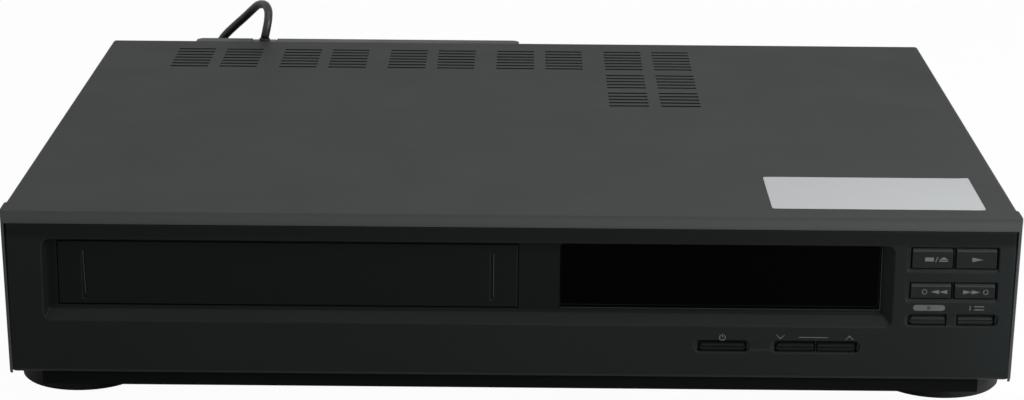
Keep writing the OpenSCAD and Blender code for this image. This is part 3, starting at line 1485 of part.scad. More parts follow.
// Hand-chosen route of the lead, from its strain relief over the loop down to the coil
cord_route = [
  [-135, 162.1, 88], [-134.7, 162.4, 93], [-134.6, 164.2, 98], [-135.3, 168.3, 102],
  [-137.2, 174, 104], [-140.4, 179.4, 102.8], [-144.9, 184, 99], [-150.5, 187.3, 94],
  [-156.3, 189.5, 88.6], [-161.2, 190.5, 82], [-164.2, 190.6, 75], [-165.4, 190, 66],
  [-165.3, 188.5, 57], [-165, 186.5, 48], [-165, 185.6, 39.5], [-165, 187.8, 31.5],
  [-165, 192, 25], [-165, 197.6, 20.4]
];

// From the coil's first turn along the floor to the plug
tail_route = [
  [-165.6, 222, 2.7], [-168.5, 230.5, 2.6], [-174.5, 237.5, 3.2], [-182.5, 241.5, 4.6],
  [-189.5, 242.5, 6.2]
];
plug_at = [-196, 242.6, plug_t / 2];

// Unit vectors across a path, carried along it without twisting
function unit(v) = v / norm(v);
function tangents(p) = [for (i = [0:len(p) - 1])
  unit(p[min(i + 1, len(p) - 1)] - p[max(i - 1, 0)])];
function carry(t, n0, i = 1, out = []) =
  i > len(t) - 1 ? concat([n0], out)
  : let (prev = len(out) == 0 ? n0 : out[len(out) - 1], n = unit(prev - (prev * t[i]) * t[i]))
   carry(t, n0, i + 1, concat(out, [n]));

// A closed tube of triangles along points
module tube_along(p, d, sides, first, last) {
  raw = tangents(p);
  t = [for (i = [0:len(p) - 1]) i == 0 ? first : i == len(p) - 1 ? last : raw[i]];
  start = unit(cross(t[0], abs(t[0].z) > 0.9 ? [1, 0, 0] : [0, 0, 1]));
  n = carry(t, start);
  verts = [for (i = [0:len(p) - 1], j = [0:sides - 1])
    let (a = 360 * j / sides, b = cross(t[i], n[i]))
    p[i] + d / 2 * (cos(a) * n[i] + sin(a) * b)];
  last_ring = (len(p) - 1) * sides;
  faces = concat(
    [for (j = [1:sides - 2]) [0, j, j + 1]],
    [for (j = [1:sides - 2]) [last_ring, last_ring + j + 1, last_ring + j]],
    [for (i = [0:len(p) - 2], j = [0:sides - 1], half = [0, 1])
      let (a = i * sides + j, b = i * sides + (j + 1) % sides)
      half == 0 ? [a, a + sides, b + sides] : [a, b + sides, b]]);
  polyhedron(points = verts, faces = faces, convexity = 10);
}

// Least gap of the coil to itself, measured on its ring centres a turn or more apart
coil_gap = min([for (i = [0:len(coil_points) - 1], j = [i + RINGS * 0.6:1:len(coil_points) - 1])
  norm(coil_points[i] - coil_points[floor(j)])]) - cord_d;
function run_length(p, i = 1, sum = 0) =
  i > len(p) - 1 ? sum : run_length(p, i + 1, sum + norm(p[i] - p[i - 1]));
echo(coil_gap = coil_gap, coil_length = run_length(coil_points));
echo(cord_length = run_length(cord_route), tail_length = run_length(tail_route));

module cord_coil() color(black_color) {
  tube_along(coil_points, cord_d, SIDES, [0, -1, 0], [0, -1, 0]);
}

module power_cord() color(black_color) {
  end = coil_end - [0, cord_d, 0];
  begin = coil_start + [0, cord_d, 0];
  tube_along(concat(cord_route, [end]), cord_d, 8, [0, 0, 1], [0, 1, 0]);
  tube_along(concat([begin], tail_route, [plug_at]), cord_d, 8, [0, 1, 0], [-1, 0, 0]);
}

// A band round the coil's bundle, on the side away from the case
module coil_tie() color([0.85, 0.85, 0.83]) {
  gap = 0.3;
  r0 = coil_r - cord_d / 2 - gap;
  r1 = coil_outer + cord_d / 2 + gap;
  z1 = coil_high + cord_d / 2 + gap;
  translate([coil_centre.x, coil_centre.y - tie_w / 2, 0]) difference() {
    block([r0 - tie_t, 0, 0], [r1 + tie_t, tie_w, z1 + tie_t]);
    block([r0, -1, tie_t], [r1, tie_w + 1, z1]);
  }
}

// The flat two-pole plug, its pins towards -X
module plug_body() color(black_color) {
  translate(plug_at) difference() {
    union() {
      along_z(-plug_t / 2, plug_t / 2) polygon([
        [-6, -6], [-6, 6], [-14, plug_w / 2 - 3], [-6 - plug_l, plug_w / 2],
        [-6 - plug_l, -plug_w / 2], [-14, -plug_w / 2 + 3]]);
      rotate([0, -90, 0]) cylinder(d1 = 7, d2 = 10, h = 8);
    }
    for (side = [-1, 1]) translate([-5 - plug_l + 3, side * pin_step / 2, 0])
      rotate([0, -90, 0]) cylinder(d = pin_d + 0.1, h = 8);
    block([-16 - 9, plug_w / 2 - 2.6, -plug_t], [-16, plug_w, plug_t]);
    block([-16 - 9, -plug_w, -plug_t], [-16, -plug_w / 2 + 2.6, plug_t]);
  }
}

module plug_pins() color(steel_color) {
  for (side = [-1, 1]) translate(plug_at + [-5 - plug_l + 3, side * pin_step / 2, 0])
    rotate([0, -90, 0]) {
      cylinder(d = pin_d, h = pin_l + 4 - 1.5);
      translate([0, 0, pin_l + 2.5 - eps]) cylinder(d1 = pin_d, d2 = pin_d - 1.6, h = 1.5);
    }
}

top_cover();
front_panel();
bottom_pan();
rear_panel();
rear_housing();
feet();
screws();
cassette_flap();
flap_spring();
display_window();
display_tube();
front_board();
tact_switches();
button_stop();
button_play();
button_rewind();
button_forward();
button_record();
button_speed();
button_power();
button_channel_down();
button_channel_up();
main_board();
tuner_can();
av_sockets();
power_board();
transformer();
heat_sink();
deck_plate();
cage_left();
cage_right();
cage_bridge();
loading_slider();
cassette_holder();
loading_motor();
motor_pinion();
cam_gear();
lower_drum();
upper_drum();
head_amp_can();
capstan_bearing();
capstan_stator();
capstan_rotor();
pinch_arm();
pinch_roller();
supply_reel();
takeup_reel();
idler_arm();
idler_wheel();
guide_left();
guide_right();
tension_arm();
erase_head();
sound_head();
cord_relief();
power_cord();
cord_coil();
coil_tie();
plug_body();
plug_pins();
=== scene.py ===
import math

import bmesh
import bpy
from mathutils import Matrix, Vector


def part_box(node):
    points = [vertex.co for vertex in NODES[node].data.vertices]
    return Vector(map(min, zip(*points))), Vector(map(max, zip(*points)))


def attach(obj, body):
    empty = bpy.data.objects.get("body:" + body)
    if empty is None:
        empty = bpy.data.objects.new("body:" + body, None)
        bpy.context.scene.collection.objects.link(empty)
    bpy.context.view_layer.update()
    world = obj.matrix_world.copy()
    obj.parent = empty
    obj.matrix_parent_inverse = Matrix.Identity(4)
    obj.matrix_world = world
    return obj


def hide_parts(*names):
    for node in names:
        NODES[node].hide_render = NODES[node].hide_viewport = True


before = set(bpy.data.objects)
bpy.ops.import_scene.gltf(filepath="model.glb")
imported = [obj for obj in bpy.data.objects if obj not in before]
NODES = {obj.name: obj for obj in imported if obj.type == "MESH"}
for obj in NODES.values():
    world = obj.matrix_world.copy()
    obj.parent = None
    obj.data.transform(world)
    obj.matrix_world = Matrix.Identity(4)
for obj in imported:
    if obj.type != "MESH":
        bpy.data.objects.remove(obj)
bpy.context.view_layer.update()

scene = bpy.context.scene
MM = 0.001


def corners_of(node):
    """A node's lowest and highest corners in millimetres."""
    return [[round(v / MM, 3) for v in corner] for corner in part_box(node)]


FRONT = corners_of("front_panel")[0][1]
RECESS = FRONT + 5  # the sunk field around flap and window


def srgb(r, g, b):
    """A colour as a screen shows it, 0 to 255, turned into linear light."""
    out = []
    for v in (r, g, b):
        v /= 255
        out.append(v / 12.92 if v <= 0.04045 else ((v + 0.055) / 1.055) ** 2.4)
    return (*out, 1)


# Camera, at the photograph's place and angle

CAMERA_AT = (5.567, -1243.21, 410.54)
PITCH, YAW, ROLL = 16.3437, -0.2725, -0.4253
SENSOR, FOCAL_PX, WIDTH_PX = 36, 2673.18, 1024


def make_camera():
    pitch, yaw, roll = (math.radians(a) for a in (PITCH, YAW, ROLL))
    ahead = Vector((math.sin(yaw) * math.cos(pitch), math.cos(yaw) * math.cos(pitch),
                    -math.sin(pitch)))
    right = Vector((math.cos(yaw), -math.sin(yaw), 0))
    down = ahead.cross(right)
    x = math.cos(roll) * right + math.sin(roll) * down
    y = math.sin(roll) * right - math.cos(roll) * down
    data = bpy.data.cameras.new("camera")
    data.sensor_width = SENSOR
    data.lens = SENSOR * FOCAL_PX / WIDTH_PX
    data.clip_start, data.clip_end = 0.05, 20
    camera = bpy.data.objects.new("camera", data)
    turn = Matrix((x, y, -ahead)).transposed().to_4x4()
    camera.matrix_world = Matrix.Translation(Vector(CAMERA_AT) * MM) @ turn
    scene.collection.objects.link(camera)
    scene.camera = camera


make_camera()


# Mesh helpers

def add_mesh(name, verts, faces, smooth=False):
    """A closed piece from points in millimetres."""
    mesh = bpy.data.meshes.new(name)
    mesh.from_pydata([Vector(v) * MM for v in verts], [], faces)
    mesh.validate()
    work = bmesh.new()
    work.from_mesh(mesh)
    bmesh.ops.recalc_face_normals(work, faces=work.faces)
    work.to_mesh(mesh)
    work.free()
    for p in mesh.polygons:
        p.use_smooth = smooth
    piece = bpy.data.objects.new(name, mesh)
    scene.collection.objects.link(piece)
    return piece


def smooth_path(points, step):
    """Catmull-Rom curve through points, resampled at an even step."""
    parts = 12
    pts = [Vector(p) for p in points]
    pts = [2 * pts[0] - pts[1]] + pts + [2 * pts[-1] - pts[-2]]
    fine = []
    for a, b, c, d in zip(pts, pts[1:], pts[2:], pts[3:]):
        for i in range(parts):
            t = i / parts
            fine.append(0.5 * (2 * b + (c - a) * t + (2 * a - 5 * b + 4 * c - d) * t * t
                               + (3 * b - a - 3 * c + d) * t ** 3))
    fine.append(pts[-2])
    out, left = [fine[0]], step
    for a, b in zip(fine, fine[1:]):
        run = (b - a).length
        at = 0.0
        while run - at >= left:
            at += left
            out.append(a + (b - a) * (at / run))
            left = step
        left -= run - at
    if (out[-1] - fine[-1]).length > step * 0.4:
        out.append(fine[-1])
    return out


def tube(name, path, diameter, sides=14):
    """A round tube along a path, with flat ends."""
    n = len(path)
    along = [(path[min(i + 1, n - 1)] - path[max(i - 1, 0)]).normalized() for i in range(n)]
    across = along[0].orthogonal().normalized()
    verts, faces = [], []
    for p, t in zip(path, along):
        across = (across - across.dot(t) * t).normalized()
        other = t.cross(across)
        for k in range(sides):
            a = 2 * math.pi * k / sides
            verts.append(p + (across * math.cos(a) + other * math.sin(a)) * diameter / 2)
    for i in range(n - 1):
        for k in range(sides):
            m = (k + 1) % sides
            faces.append((i * sides + k, i * sides + m,
                          (i + 1) * sides + m, (i + 1) * sides + k))
    faces.append(tuple(range(sides))[::-1])
    faces.append(tuple((n - 1) * sides + k for k in range(sides)))
    return add_mesh(name, verts, faces, True)


# The mains lead: loop, coil and tail, close to the points of its solid

CORD = 4.5
CORD_EXIT = (-135, 162.1, 88)
COIL_CENTRE = (-133.5, 208.0)
COIL_INNER, COIL_STEP, COIL_LAYER, COIL_LIFT = 19, 5, 4.95, 1
COIL_TURNS, COIL_LAYERS, POINTS_PER_TURN = 2.5, 4, 24


def coil_line():
    """The coil from its first outer turn upward, spiralling in and out by layers."""
    whole = 360 * COIL_TURNS
    outer = COIL_INNER + COIL_TURNS * COIL_STEP
    low = COIL_LIFT + CORD / 2
    cx, cy = COIL_CENTRE
    out = []
    for i in range(int(COIL_LAYERS * COIL_TURNS * POINTS_PER_TURN) + 1):
        t = i * 360 / POINTS_PER_TURN
        k = min(COIL_LAYERS - 1, int(t // whole))
        part = (t - k * whole) / whole
        span = (outer - COIL_INNER) * part
        r = outer - span if k % 2 == 0 else COIL_INNER + span
        near = round(t / whole)
        off = t - near * whole
        level = near < 1 or near > COIL_LAYERS - 1 or abs(off) >= 90
        rise = k if level else near - 0.5 + off / 180
        a = math.radians(t)
        out.append((cx - r * math.cos(a), cy - r * math.sin(a), low + rise * COIL_LAYER))
    return out


cord_route = [
    CORD_EXIT, (-133.9, 162.4, 93), (-133.1, 164.2, 98), (-133.4, 168.3, 102),
    (-135.7, 174, 103.8), (-139.6, 179.4, 102.7), (-143.4, 184, 99), (-148.2, 187.3, 94),
    (-153.9, 189.5, 88.6), (-160.3, 190.5, 82), (-164, 190.6, 75), (-165.4, 190, 66),
    (-165.3, 188.5, 57), (-165, 186.5, 48), (-165, 185.6, 39.5), (-165, 187.8, 31.5),
    (-165, 192, 25), (-165, 197.6, 20.4)
]
tail_route = [
    (-165.6, 222, 2.7), (-168.5, 230.5, 2.6), (-174.5, 237.5, 3.2), (-182.5, 241.5, 4.6),
    (-189.5, 242.5, 6.2), (-196, 242.6, 6.8),
]
cord_path = smooth_path(cord_route + coil_line()[::-1] + tail_route, 2.2)
mains_lead = tube("mains_lead", cord_path, CORD)
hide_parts("power_cord", "cord_coil")
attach(mains_lead, "case")


# Finer copies of solids whose small edges the camera sees

def stands_for(piece, node, body):
    """The piece takes the node's place on its body."""
    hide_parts(node)
    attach(piece, body)
    return piece


def points_of(node):
    """The points of a solid's mesh in millimetres."""
    return [v.co / MM for v in NODES[node].data.vertices]


def clamp(v):
    return min(1, max(0, v))


def front_shell():
    """The front panel, its side edges leaning out as the cover's flared edge does."""
    piece = bpy.data.objects.new("front_moulding", NODES["front_panel"].data.copy())
    scene.collection.objects.link(piece)
    half = corners_of("front_panel")[1][0]
    low, high, lean, flare = 8.0, 74.0, 1.15, 0.9
    edge_wide, edge_deep, fade = 3, 4, 2
    for v in piece.data.vertices:
        x, y, z = v.co / MM
        near = clamp((abs(x) - half + edge_wide) / edge_wide)
        rise = clamp((z - low) / (high - low))
        ahead = clamp((FRONT + edge_deep - y) / fade)
        out = near * near * (rise * lean + (1 - rise) * ahead * flare)
        v.co.x += math.copysign(out, x) * MM
    return stands_for(piece, "front_panel", "case")


front_moulding = front_shell()


def loft(sections):
    """Closed skin over rings of equal length."""
    n = len(sections[0])
    verts = [p for ring_points in sections for p in ring_points]
    faces = [(i * n + k, i * n + (k + 1) % n, (i + 1) * n + (k + 1) % n, (i + 1) * n + k)
             for i in range(len(sections) - 1) for k in range(n)]
    faces.append(tuple(range(n))[::-1])
    faces.append(tuple((len(sections) - 1) * n + k for k in range(n)))
    return verts, faces


def joined(shells):
    """Several closed skins as one list of points and faces."""
    verts, faces = [], []
    for more, rows in shells:
        at = len(verts)
        verts += more
        faces += [tuple(at + i for i in row) for row in rows]
    return verts, faces


def block_shell(x0, x1, y0, y1, z0, z1):
    return loft([[(x, y0, z0), (x, y1, z0), (x, y1, z1), (x, y0, z1)] for x in (x0, x1)])


def rod_shell(x, z, r, y0, y1, n=20):
    turn = [2 * math.pi * i / n for i in range(n)]
    return loft([[(x + r * math.cos(a), y, z + r * math.sin(a)) for a in turn] for y in (y0, y1)])


def cap_of(node):
    """The lowest and highest corners of a key's cap, the part ahead of its flange."""
    reach = 1.5
    cap = [p for p in points_of(node) if p.y < FRONT + reach]
    return [[round(pick(p[i] for p in cap), 3) for i in range(3)] for pick in (min, max)]


def key_cap(node, body, rounded=(False, False), low=False):
    """A key with softened edges, rounded outer ends and, on the low keys, a finger groove."""
    hair = 0.1
    pts = points_of(node)
    (x0, face, z0), (x1, _, z1) = cap_of(node)
    (_, _, flange_low), (_, stem_end, flange_high) = corners_of(node)
    flange = [p.y for p in pts if p.z < flange_low + hair]
    stem = [p for p in pts if p.y > max(flange) + hair]
    stem_x = sum(p.x for p in stem) / len(stem)
    stem_low, stem_high = min(p.z for p in stem), max(p.z for p in stem)
    side, above = 0.35, 0.15
    half = (z1 - z0) / 2 - above
    mid = (z0 + z1) / 2
    back = min(flange) + hair
    slope = 1.0 if low else 1.25
    # side view of the cap: depth, and height as a share of half the key
    top = 1 - slope / half
    rows = [(back, 1), (face + 1.1, 1), (face + 0.25, 1 - slope * 0.75 / half), (face, top)]
    if low:
        rows += [(face + 0.05, top - 0.03), (face + 0.7, top - 0.1),
                 (face + 0.7, top - 0.36), (face, top - 0.5)]
    rows += [(face, -1 + 0.35 / half), (face + 0.12, -1 + 0.12 / half), (face + 0.4, -1),
             (back, -1)]

    def ring_at(x, size, push):
        return [(x, min(y + (push if y < back - 0.01 else 0), back), mid + w * half * size)
                for y, w in rows]

    def end(x, way, is_round):
        if is_round:
            turn = [math.radians(a) for a in (12, 28, 45, 62, 78, 90)]
            return [ring_at(x + way * half * (1 - math.cos(a)), math.sin(a),
                            0.45 * (1 - math.sin(a))) for a in turn]
        return [ring_at(x, 0.94, 0.3), ring_at(x + way * 0.1, 0.98, 0.1),
                ring_at(x + way * 0.3, 1, 0)]

    sections = end(x0 + side, 1, rounded[0]) + end(x1 - side, -1, rounded[1])[::-1]
    shells = [loft(sections),
              block_shell(x0, x1, min(flange), max(flange), flange_low, flange_high),
              rod_shell(stem_x, (stem_low + stem_high) / 2, (stem_high - stem_low) / 2,
                        max(flange) - 2 * hair, stem_end)]
    piece = add_mesh("cap_" + node.removeprefix("button_"), *joined(shells))
    return stands_for(piece, node, body)


HIGH_KEYS = ["stop", "play", "rewind", "forward"]
LOW_KEYS = {"record": (True, False), "speed": (False, True), "power": (True, True),
            "channel_down": (True, False), "channel_up": (False, True)}
high_caps = [key_cap("button_" + k, "key_" + k) for k in HIGH_KEYS]
low_caps = {k: key_cap("button_" + k, "key_" + k, ends, True) for k, ends in LOW_KEYS.items()}


def relief_bush():
    """The strain relief with the collar that fills the notch in the rear housing."""
    x, y, top = CORD_EXIT
    base, rib, neck, ribs, pitch = 58.0, 3.2, 2.7, 5, 3.6
    turn = [2 * math.pi * i / 28 for i in range(28)]
    profile = [(neck, base - 8), (neck, base), (rib, base), (rib, base + 2)]
    for i in range(ribs):
        z = base + 6 + i * pitch
        profile += [(neck, z - 0.7), (rib, z), (rib, z + 1.4), (neck, z + 1.8)]
    profile += [(2.95, top - 4.5), (2.85, top)]
    body = loft([[(x + r * math.cos(a), y + r * math.sin(a), z) for a in turn] for r, z in profile])
    cut_square = ((-1, -0.8), (-0.93, -1), (0.93, -1), (1, -0.8),
                  (1, 0.8), (0.93, 1), (-0.93, 1), (-1, 0.8))

    def plate(wide, deep, z):
        return [(x + wide * sx, y + deep * sy, z) for sx, sy in cut_square]

    collar = loft([plate(6.2, 3.1, 82.6), plate(6.3, 3.2, 82.9),
                   plate(6.3, 3.2, 86.5), plate(6.0, 3.0, 86.75)])
    piece = add_mesh("relief_bush", *joined([body, collar]))
    return stands_for(piece, "cord_relief", "case")


bush = relief_bush()


# Materials

COAT_ROUGH, BLOTCH_DETAIL, GRAIN_DETAIL, GRAIN_SHARE = 0.08, 5, 3, 0.35
DARKEST, LIGHTEST = 0.42, 0.94  # noise at the two ends of a material's tones
SMOOTHEST, ROUGHEST = 0.3, 0.7  # noise at the two ends of its polish
WEAR_AND_GLINT_STARTS, WEAR_AND_GLINT_FULL = 0.995, 0.85  # how far a softened edge has turned, as a cosine, where edges start to be painted lighter and are fully so
FACING_STARTS, FACING_FULL = 0.25, 0.6  # how squarely a face looks along a zone's way
# the paler tone that edges are painted towards: partly wear, partly a painted highlight
WEAR_AND_GLINT_GAIN, WEAR_AND_GLINT_LIFT = 2.2, 0.02


class Graph:
    """A material's node tree, built from plain values and other nodes' sockets."""

    def __init__(self, tree):
        tree.nodes.clear()
        self.tree = tree

    def node(self, kind, inputs=(), **settings):
        made = self.tree.nodes.new("ShaderNode" + kind)
        for key, value in settings.items():
            setattr(made, key, value)
        for key, value in dict(inputs).items():
            if isinstance(value, bpy.types.NodeSocket):
                self.tree.links.new(value, made.inputs[key])
            else:
                made.inputs[key].default_value = value
        return made

    def math(self, operation, *values):
        return self.node("Math", dict(enumerate(values)), operation=operation).outputs[0]

    def dot(self, a, b):
        return self.node("VectorMath", {0: a, 1: b}, operation="DOT_PRODUCT").outputs["Value"]

    def ramp(self, value, start, end, low=0, high=1):
        return self.node("MapRange", {"Value": value, "From Min": start, "From Max": end,
                                      "To Min": low, "To Max": high}).outputs["Result"]

    def mix(self, factor, a, b):
        made = self.node("Mix", {"Factor": factor, "A": a, "B": b}, data_type="RGBA")
        return made.outputs["Result"]


def zone(color, way=None, axis=None, start=0.0, end=0.0):
    """The faces that look along way, and the part that lies past start to end on an axis."""
    return color, way, axis, start, end


def shade(name, color, rough, metal=0.0, specular=0.5, spread=0.12, blotch=18.0, grain=900.0,
          bump=0.15, depth=0.00006, edge=0.0003, wear_and_glint=0.25, stretch=(1, 1, 1), coat=0.0,
          rough_spread=0.08, zones=()):
    """A surface with its own blotches, grain, softened edges, and edges painted lighter, partly as
    wear and partly as a painted highlight.

    Each zone is a part of the surface with a tone of its own; most zones in this script are painted
    light and shade.
    """
    mat = bpy.data.materials.new(name)
    mat.use_nodes = True
    graph = Graph(mat.node_tree)
    place = graph.node("TexCoord").outputs["Object"]
    spot = graph.node("Mapping", {"Vector": place, "Scale": stretch}).outputs["Vector"]
    broad = graph.node("TexNoise", {"Vector": spot, "Scale": blotch,
                                    "Detail": BLOTCH_DETAIL}).outputs["Fac"]
    fine = graph.node("TexNoise", {"Vector": spot, "Scale": grain,
                                   "Detail": GRAIN_DETAIL}).outputs["Fac"]

    colors = graph.node("ValToRGB", {"Fac": graph.math("MULTIPLY_ADD", fine, GRAIN_SHARE, broad)})
    low, high = colors.color_ramp.elements
    low.position, high.position = DARKEST, LIGHTEST
    low.color = [c * (1 - spread) for c in color[:3]] + [1]
    high.color = [min(1, c * (1 + spread)) for c in color[:3]] + [1]

    bevel = graph.node("Bevel", {"Radius": edge}, samples=4).outputs["Normal"]
    geometry = graph.node("NewGeometry").outputs
    # edges painted lighter: partly wear, partly a painted highlight where edges would catch light
    wear_and_glint_mask = graph.ramp(graph.dot(bevel, geometry["Normal"]), WEAR_AND_GLINT_STARTS, WEAR_AND_GLINT_FULL, 0, wear_and_glint)
    wear_and_glint_tone = [min(1, c * WEAR_AND_GLINT_GAIN + WEAR_AND_GLINT_LIFT) for c in color[:3]] + [1]
    tone = graph.mix(graph.math("MULTIPLY", wear_and_glint_mask, broad), colors.outputs["Color"], wear_and_glint_tone)

    for zone_color, way, axis, start, end in zones:
        parts = []
        if way:
            facing = graph.dot(geometry["Normal"], way)
            parts.append(graph.ramp(facing, FACING_STARTS, FACING_FULL))
        if axis:
            axes = graph.node("SeparateXYZ", {0: geometry["Position"]})
            parts.append(graph.ramp(axes.outputs[axis], start * MM, end * MM))
        share = graph.math("MULTIPLY", *parts) if len(parts) == 2 else parts[0]
        tone = graph.mix(share, tone, zone_color)

    polish = graph.ramp(broad, SMOOTHEST, ROUGHEST, max(0.02, rough - rough_spread),
                        min(1, rough + rough_spread))
    raised = graph.node("Bump", {"Strength": bump, "Distance": depth, "Height": fine,
                                 "Normal": bevel}).outputs["Normal"]
    skin = graph.node("BsdfPrincipled", {
        "Base Color": tone, "Metallic": metal, "Roughness": polish, "Normal": raised,
        "Specular IOR Level": specular, "Coat Weight": coat, "Coat Roughness": COAT_ROUGH})
    graph.node("OutputMaterial", {"Surface": skin.outputs["BSDF"]})
    return mat


def coat_with(material, piece):
    piece.data.materials.clear()
    piece.data.materials.append(material)


def dress(material, *names):
    for name in names:
        coat_with(material, NODES[name])


UP, DOWN, AHEAD = (0, 0, 1), (0, 0, -1), (0, -1, 0)

# painted light and shade on the cover
cover_zones = [
    zone(srgb(54, 56, 56), AHEAD),  # front edge painted lighter: a painted highlight on front-facing faces
    zone(srgb(22, 21, 20), AHEAD, "Y", FRONT + 36.5, FRONT + 46.5),  # walls of the slots painted darker: painted shade in the slots
]
dress(shade("case_paint", srgb(52, 54, 54), 0.6, specular=0.04, spread=0.03, blotch=26,
            grain=2600, bump=0.4, depth=0.00005, edge=0.0006, wear_and_glint=0.2, rough_spread=0.03,
            zones=cover_zones), "top_cover")
dress(shade("pan_paint", srgb(6, 7, 7), 0.55, specular=0.03, blotch=30, grain=1500, bump=0.2),
      "bottom_pan")
dress(shade("rear_paint", srgb(46, 47, 47), 0.5, specular=0.15, blotch=30, grain=1500, bump=0.2),
      "rear_panel")
dress(shade("rear_plastic", srgb(56, 58, 59), 0.55, specular=0.15, grain=1800, bump=0.3,
            edge=0.0006), "rear_housing")
# painted light and shade on the front panel
panel_zones = [
    zone(srgb(21, 24, 24), None, "X", 180, 214),  # the right end painted lighter: painted light of the side lamp
    zone(srgb(29, 32, 31), DOWN, "Z", 20, 16),  # lower edge painted lighter: a painted highlight of light from the floor
    zone(srgb(5, 8, 7), None, "Y", RECESS - 1, RECESS - 0.4),  # sunk field painted darker: painted shade in the recess
    zone(srgb(10, 12, 12), None, "Z", 75.2, 77.5),  # strip under the cover's edge painted darker: a painted shadow of the edge
]
# the front panel: its edges painted lighter, partly wear, partly a painted highlight
panel_plastic = shade("panel_plastic", srgb(16, 19, 18), 0.45, specular=0.07, spread=0.06,
                      grain=2800, bump=0.25, depth=0.00004, edge=0.0012, wear_and_glint=0.6,
                      zones=panel_zones)
dress(panel_plastic, "front_panel")
coat_with(panel_plastic, front_moulding)
# the flap: its edges painted lighter at full strength, partly wear, partly painted highlights
dress(shade("flap_plastic", srgb(8, 10, 9), 0.4, specular=0.06, spread=0.06, grain=2800,
            bump=0.2, depth=0.00003, edge=0.0006, wear_and_glint=1.0), "cassette_flap")
key_look = dict(spread=0.08, grain=3000, bump=0.25, depth=0.00003)
# the high keys: upward faces painted lighter, a painted highlight on each top slope; edges painted
# lighter too
key_plastic = shade("key_plastic", srgb(14, 16, 15), 0.42, specular=0.1, edge=0.0003, wear_and_glint=0.9,
                    zones=[zone(srgb(34, 37, 36), UP)], **key_look)
# the record and speed keys: upward faces painted lighter, a weaker painted highlight on the top
# slope
low_key_plastic = shade("low_key_plastic", srgb(13, 15, 14), 0.42, specular=0.1, edge=0.0002,
                        wear_and_glint=0.9, zones=[zone(srgb(30, 33, 32), UP)], **key_look)
# the power and channel keys: the key plastic painted darker as painted shade of their sunk places,
# with upward faces painted a little lighter as a painted highlight
shaded_key_plastic = shade("shaded_key_plastic", srgb(6, 7, 7), 0.42, specular=0.08, edge=0.0002,
                         wear_and_glint=0.6, zones=[zone(srgb(15, 17, 16), UP)], **key_look)
dress(key_plastic, *["button_" + k for k in HIGH_KEYS + list(LOW_KEYS)])
for cap_piece in high_caps:
    coat_with(key_plastic, cap_piece)
for key, cap_piece in low_caps.items():
    coat_with(low_key_plastic if key in ("record", "speed") else shaded_key_plastic, cap_piece)
# the display window: its edges painted lighter, a painted highlight along its rim
window_gloss = shade("window_gloss", (0.0002, 0.00025, 0.0002, 1), 0.05, specular=0.01, spread=0.1,
                     bump=0.01, rough_spread=0.02, edge=0.0004, wear_and_glint=0.8)
dress(window_gloss, "display_window")
dress(shade("foot_plastic", srgb(36, 38, 37), 0.6, specular=0.08, bump=0.3, edge=0.0005), "feet")
dress(shade("tube_glass", srgb(20, 26, 26), 0.12, specular=0.5, bump=0.02), "display_tube")
dress(shade("board", srgb(150, 116, 60), 0.55, spread=0.15, blotch=60, bump=0.1),
      "front_board", "main_board", "power_board")
dress(shade("switch_steel", srgb(180, 180, 176), 0.35, metal=0.8), "tact_switches")
dress(shade("screw_steel", srgb(34, 34, 35), 0.35, metal=0.7, specular=0.5), "screws")
dress(shade("spring_steel", srgb(190, 190, 188), 0.28, metal=1.0), "flap_spring")
dress(shade("socket_plastic", srgb(16, 16, 17), 0.4), "av_sockets")
dress(shade("can_tin", srgb(196, 196, 190), 0.32, metal=0.9, blotch=40, spread=0.1),
      "tuner_can", "head_amp_can")
dress(shade("core_steel", srgb(64, 60, 56), 0.45, metal=0.5, stretch=(1, 1, 12), grain=300,
            bump=0.3), "transformer")
dress(shade("sink_black", srgb(36, 36, 38), 0.45, metal=0.6), "heat_sink")
deck_zinc = shade("deck_zinc", srgb(196, 194, 184), 0.34, metal=0.9, blotch=35, spread=0.12)
dress(deck_zinc, "deck_plate", "cage_left", "cage_right", "cage_bridge", "cassette_holder")
dress(shade("slider_steel", srgb(186, 187, 188), 0.3, metal=0.95, stretch=(1, 0.1, 1), bump=0.1),
      "loading_slider", "guide_left", "guide_right", "tension_arm", "pinch_arm", "idler_arm")
dress(shade("gear_plastic", srgb(214, 208, 190), 0.42), "cam_gear", "motor_pinion")
dress(shade("motor_steel", srgb(186, 186, 188), 0.3, metal=0.95), "loading_motor", "capstan_rotor")
dress(shade("drum_aluminium", srgb(214, 215, 218), 0.18, metal=1.0, stretch=(1, 1, 30), grain=200,
            bump=0.08, depth=0.00001), "lower_drum", "upper_drum")
dress(shade("bearing_brass", srgb(200, 168, 104), 0.3, metal=1.0), "capstan_bearing")
dress(shade("stator_lacquer", srgb(140, 84, 46), 0.3, coat=0.4), "capstan_stator")
dress(shade("roller_rubber", srgb(20, 20, 20), 0.75, specular=0.25), "pinch_roller", "idler_wheel")
dress(shade("reel_plastic", srgb(28, 28, 29), 0.4), "supply_reel", "takeup_reel")
dress(shade("head_steel", srgb(200, 200, 196), 0.15, metal=1.0), "erase_head", "sound_head")
cord_vinyl = shade("cord_vinyl", srgb(14, 14, 15), 0.42, specular=0.4, blotch=60, grain=500,
                   bump=0.12, edge=0.0004, wear_and_glint=0.05)
dress(cord_vinyl, "cord_relief", "plug_body")
coat_with(cord_vinyl, mains_lead)
coat_with(shade("relief_vinyl", srgb(14, 14, 15), 0.42, specular=0.3, blotch=60, grain=500,
                bump=0.12, zones=[zone(srgb(56, 58, 59), UP, "Z", 84, 85)]), bush)
dress(shade("tie_plastic", srgb(214, 214, 208), 0.5), "coil_tie")
dress(shade("pin_nickel", srgb(206, 202, 190), 0.2, metal=1.0), "plug_pins")
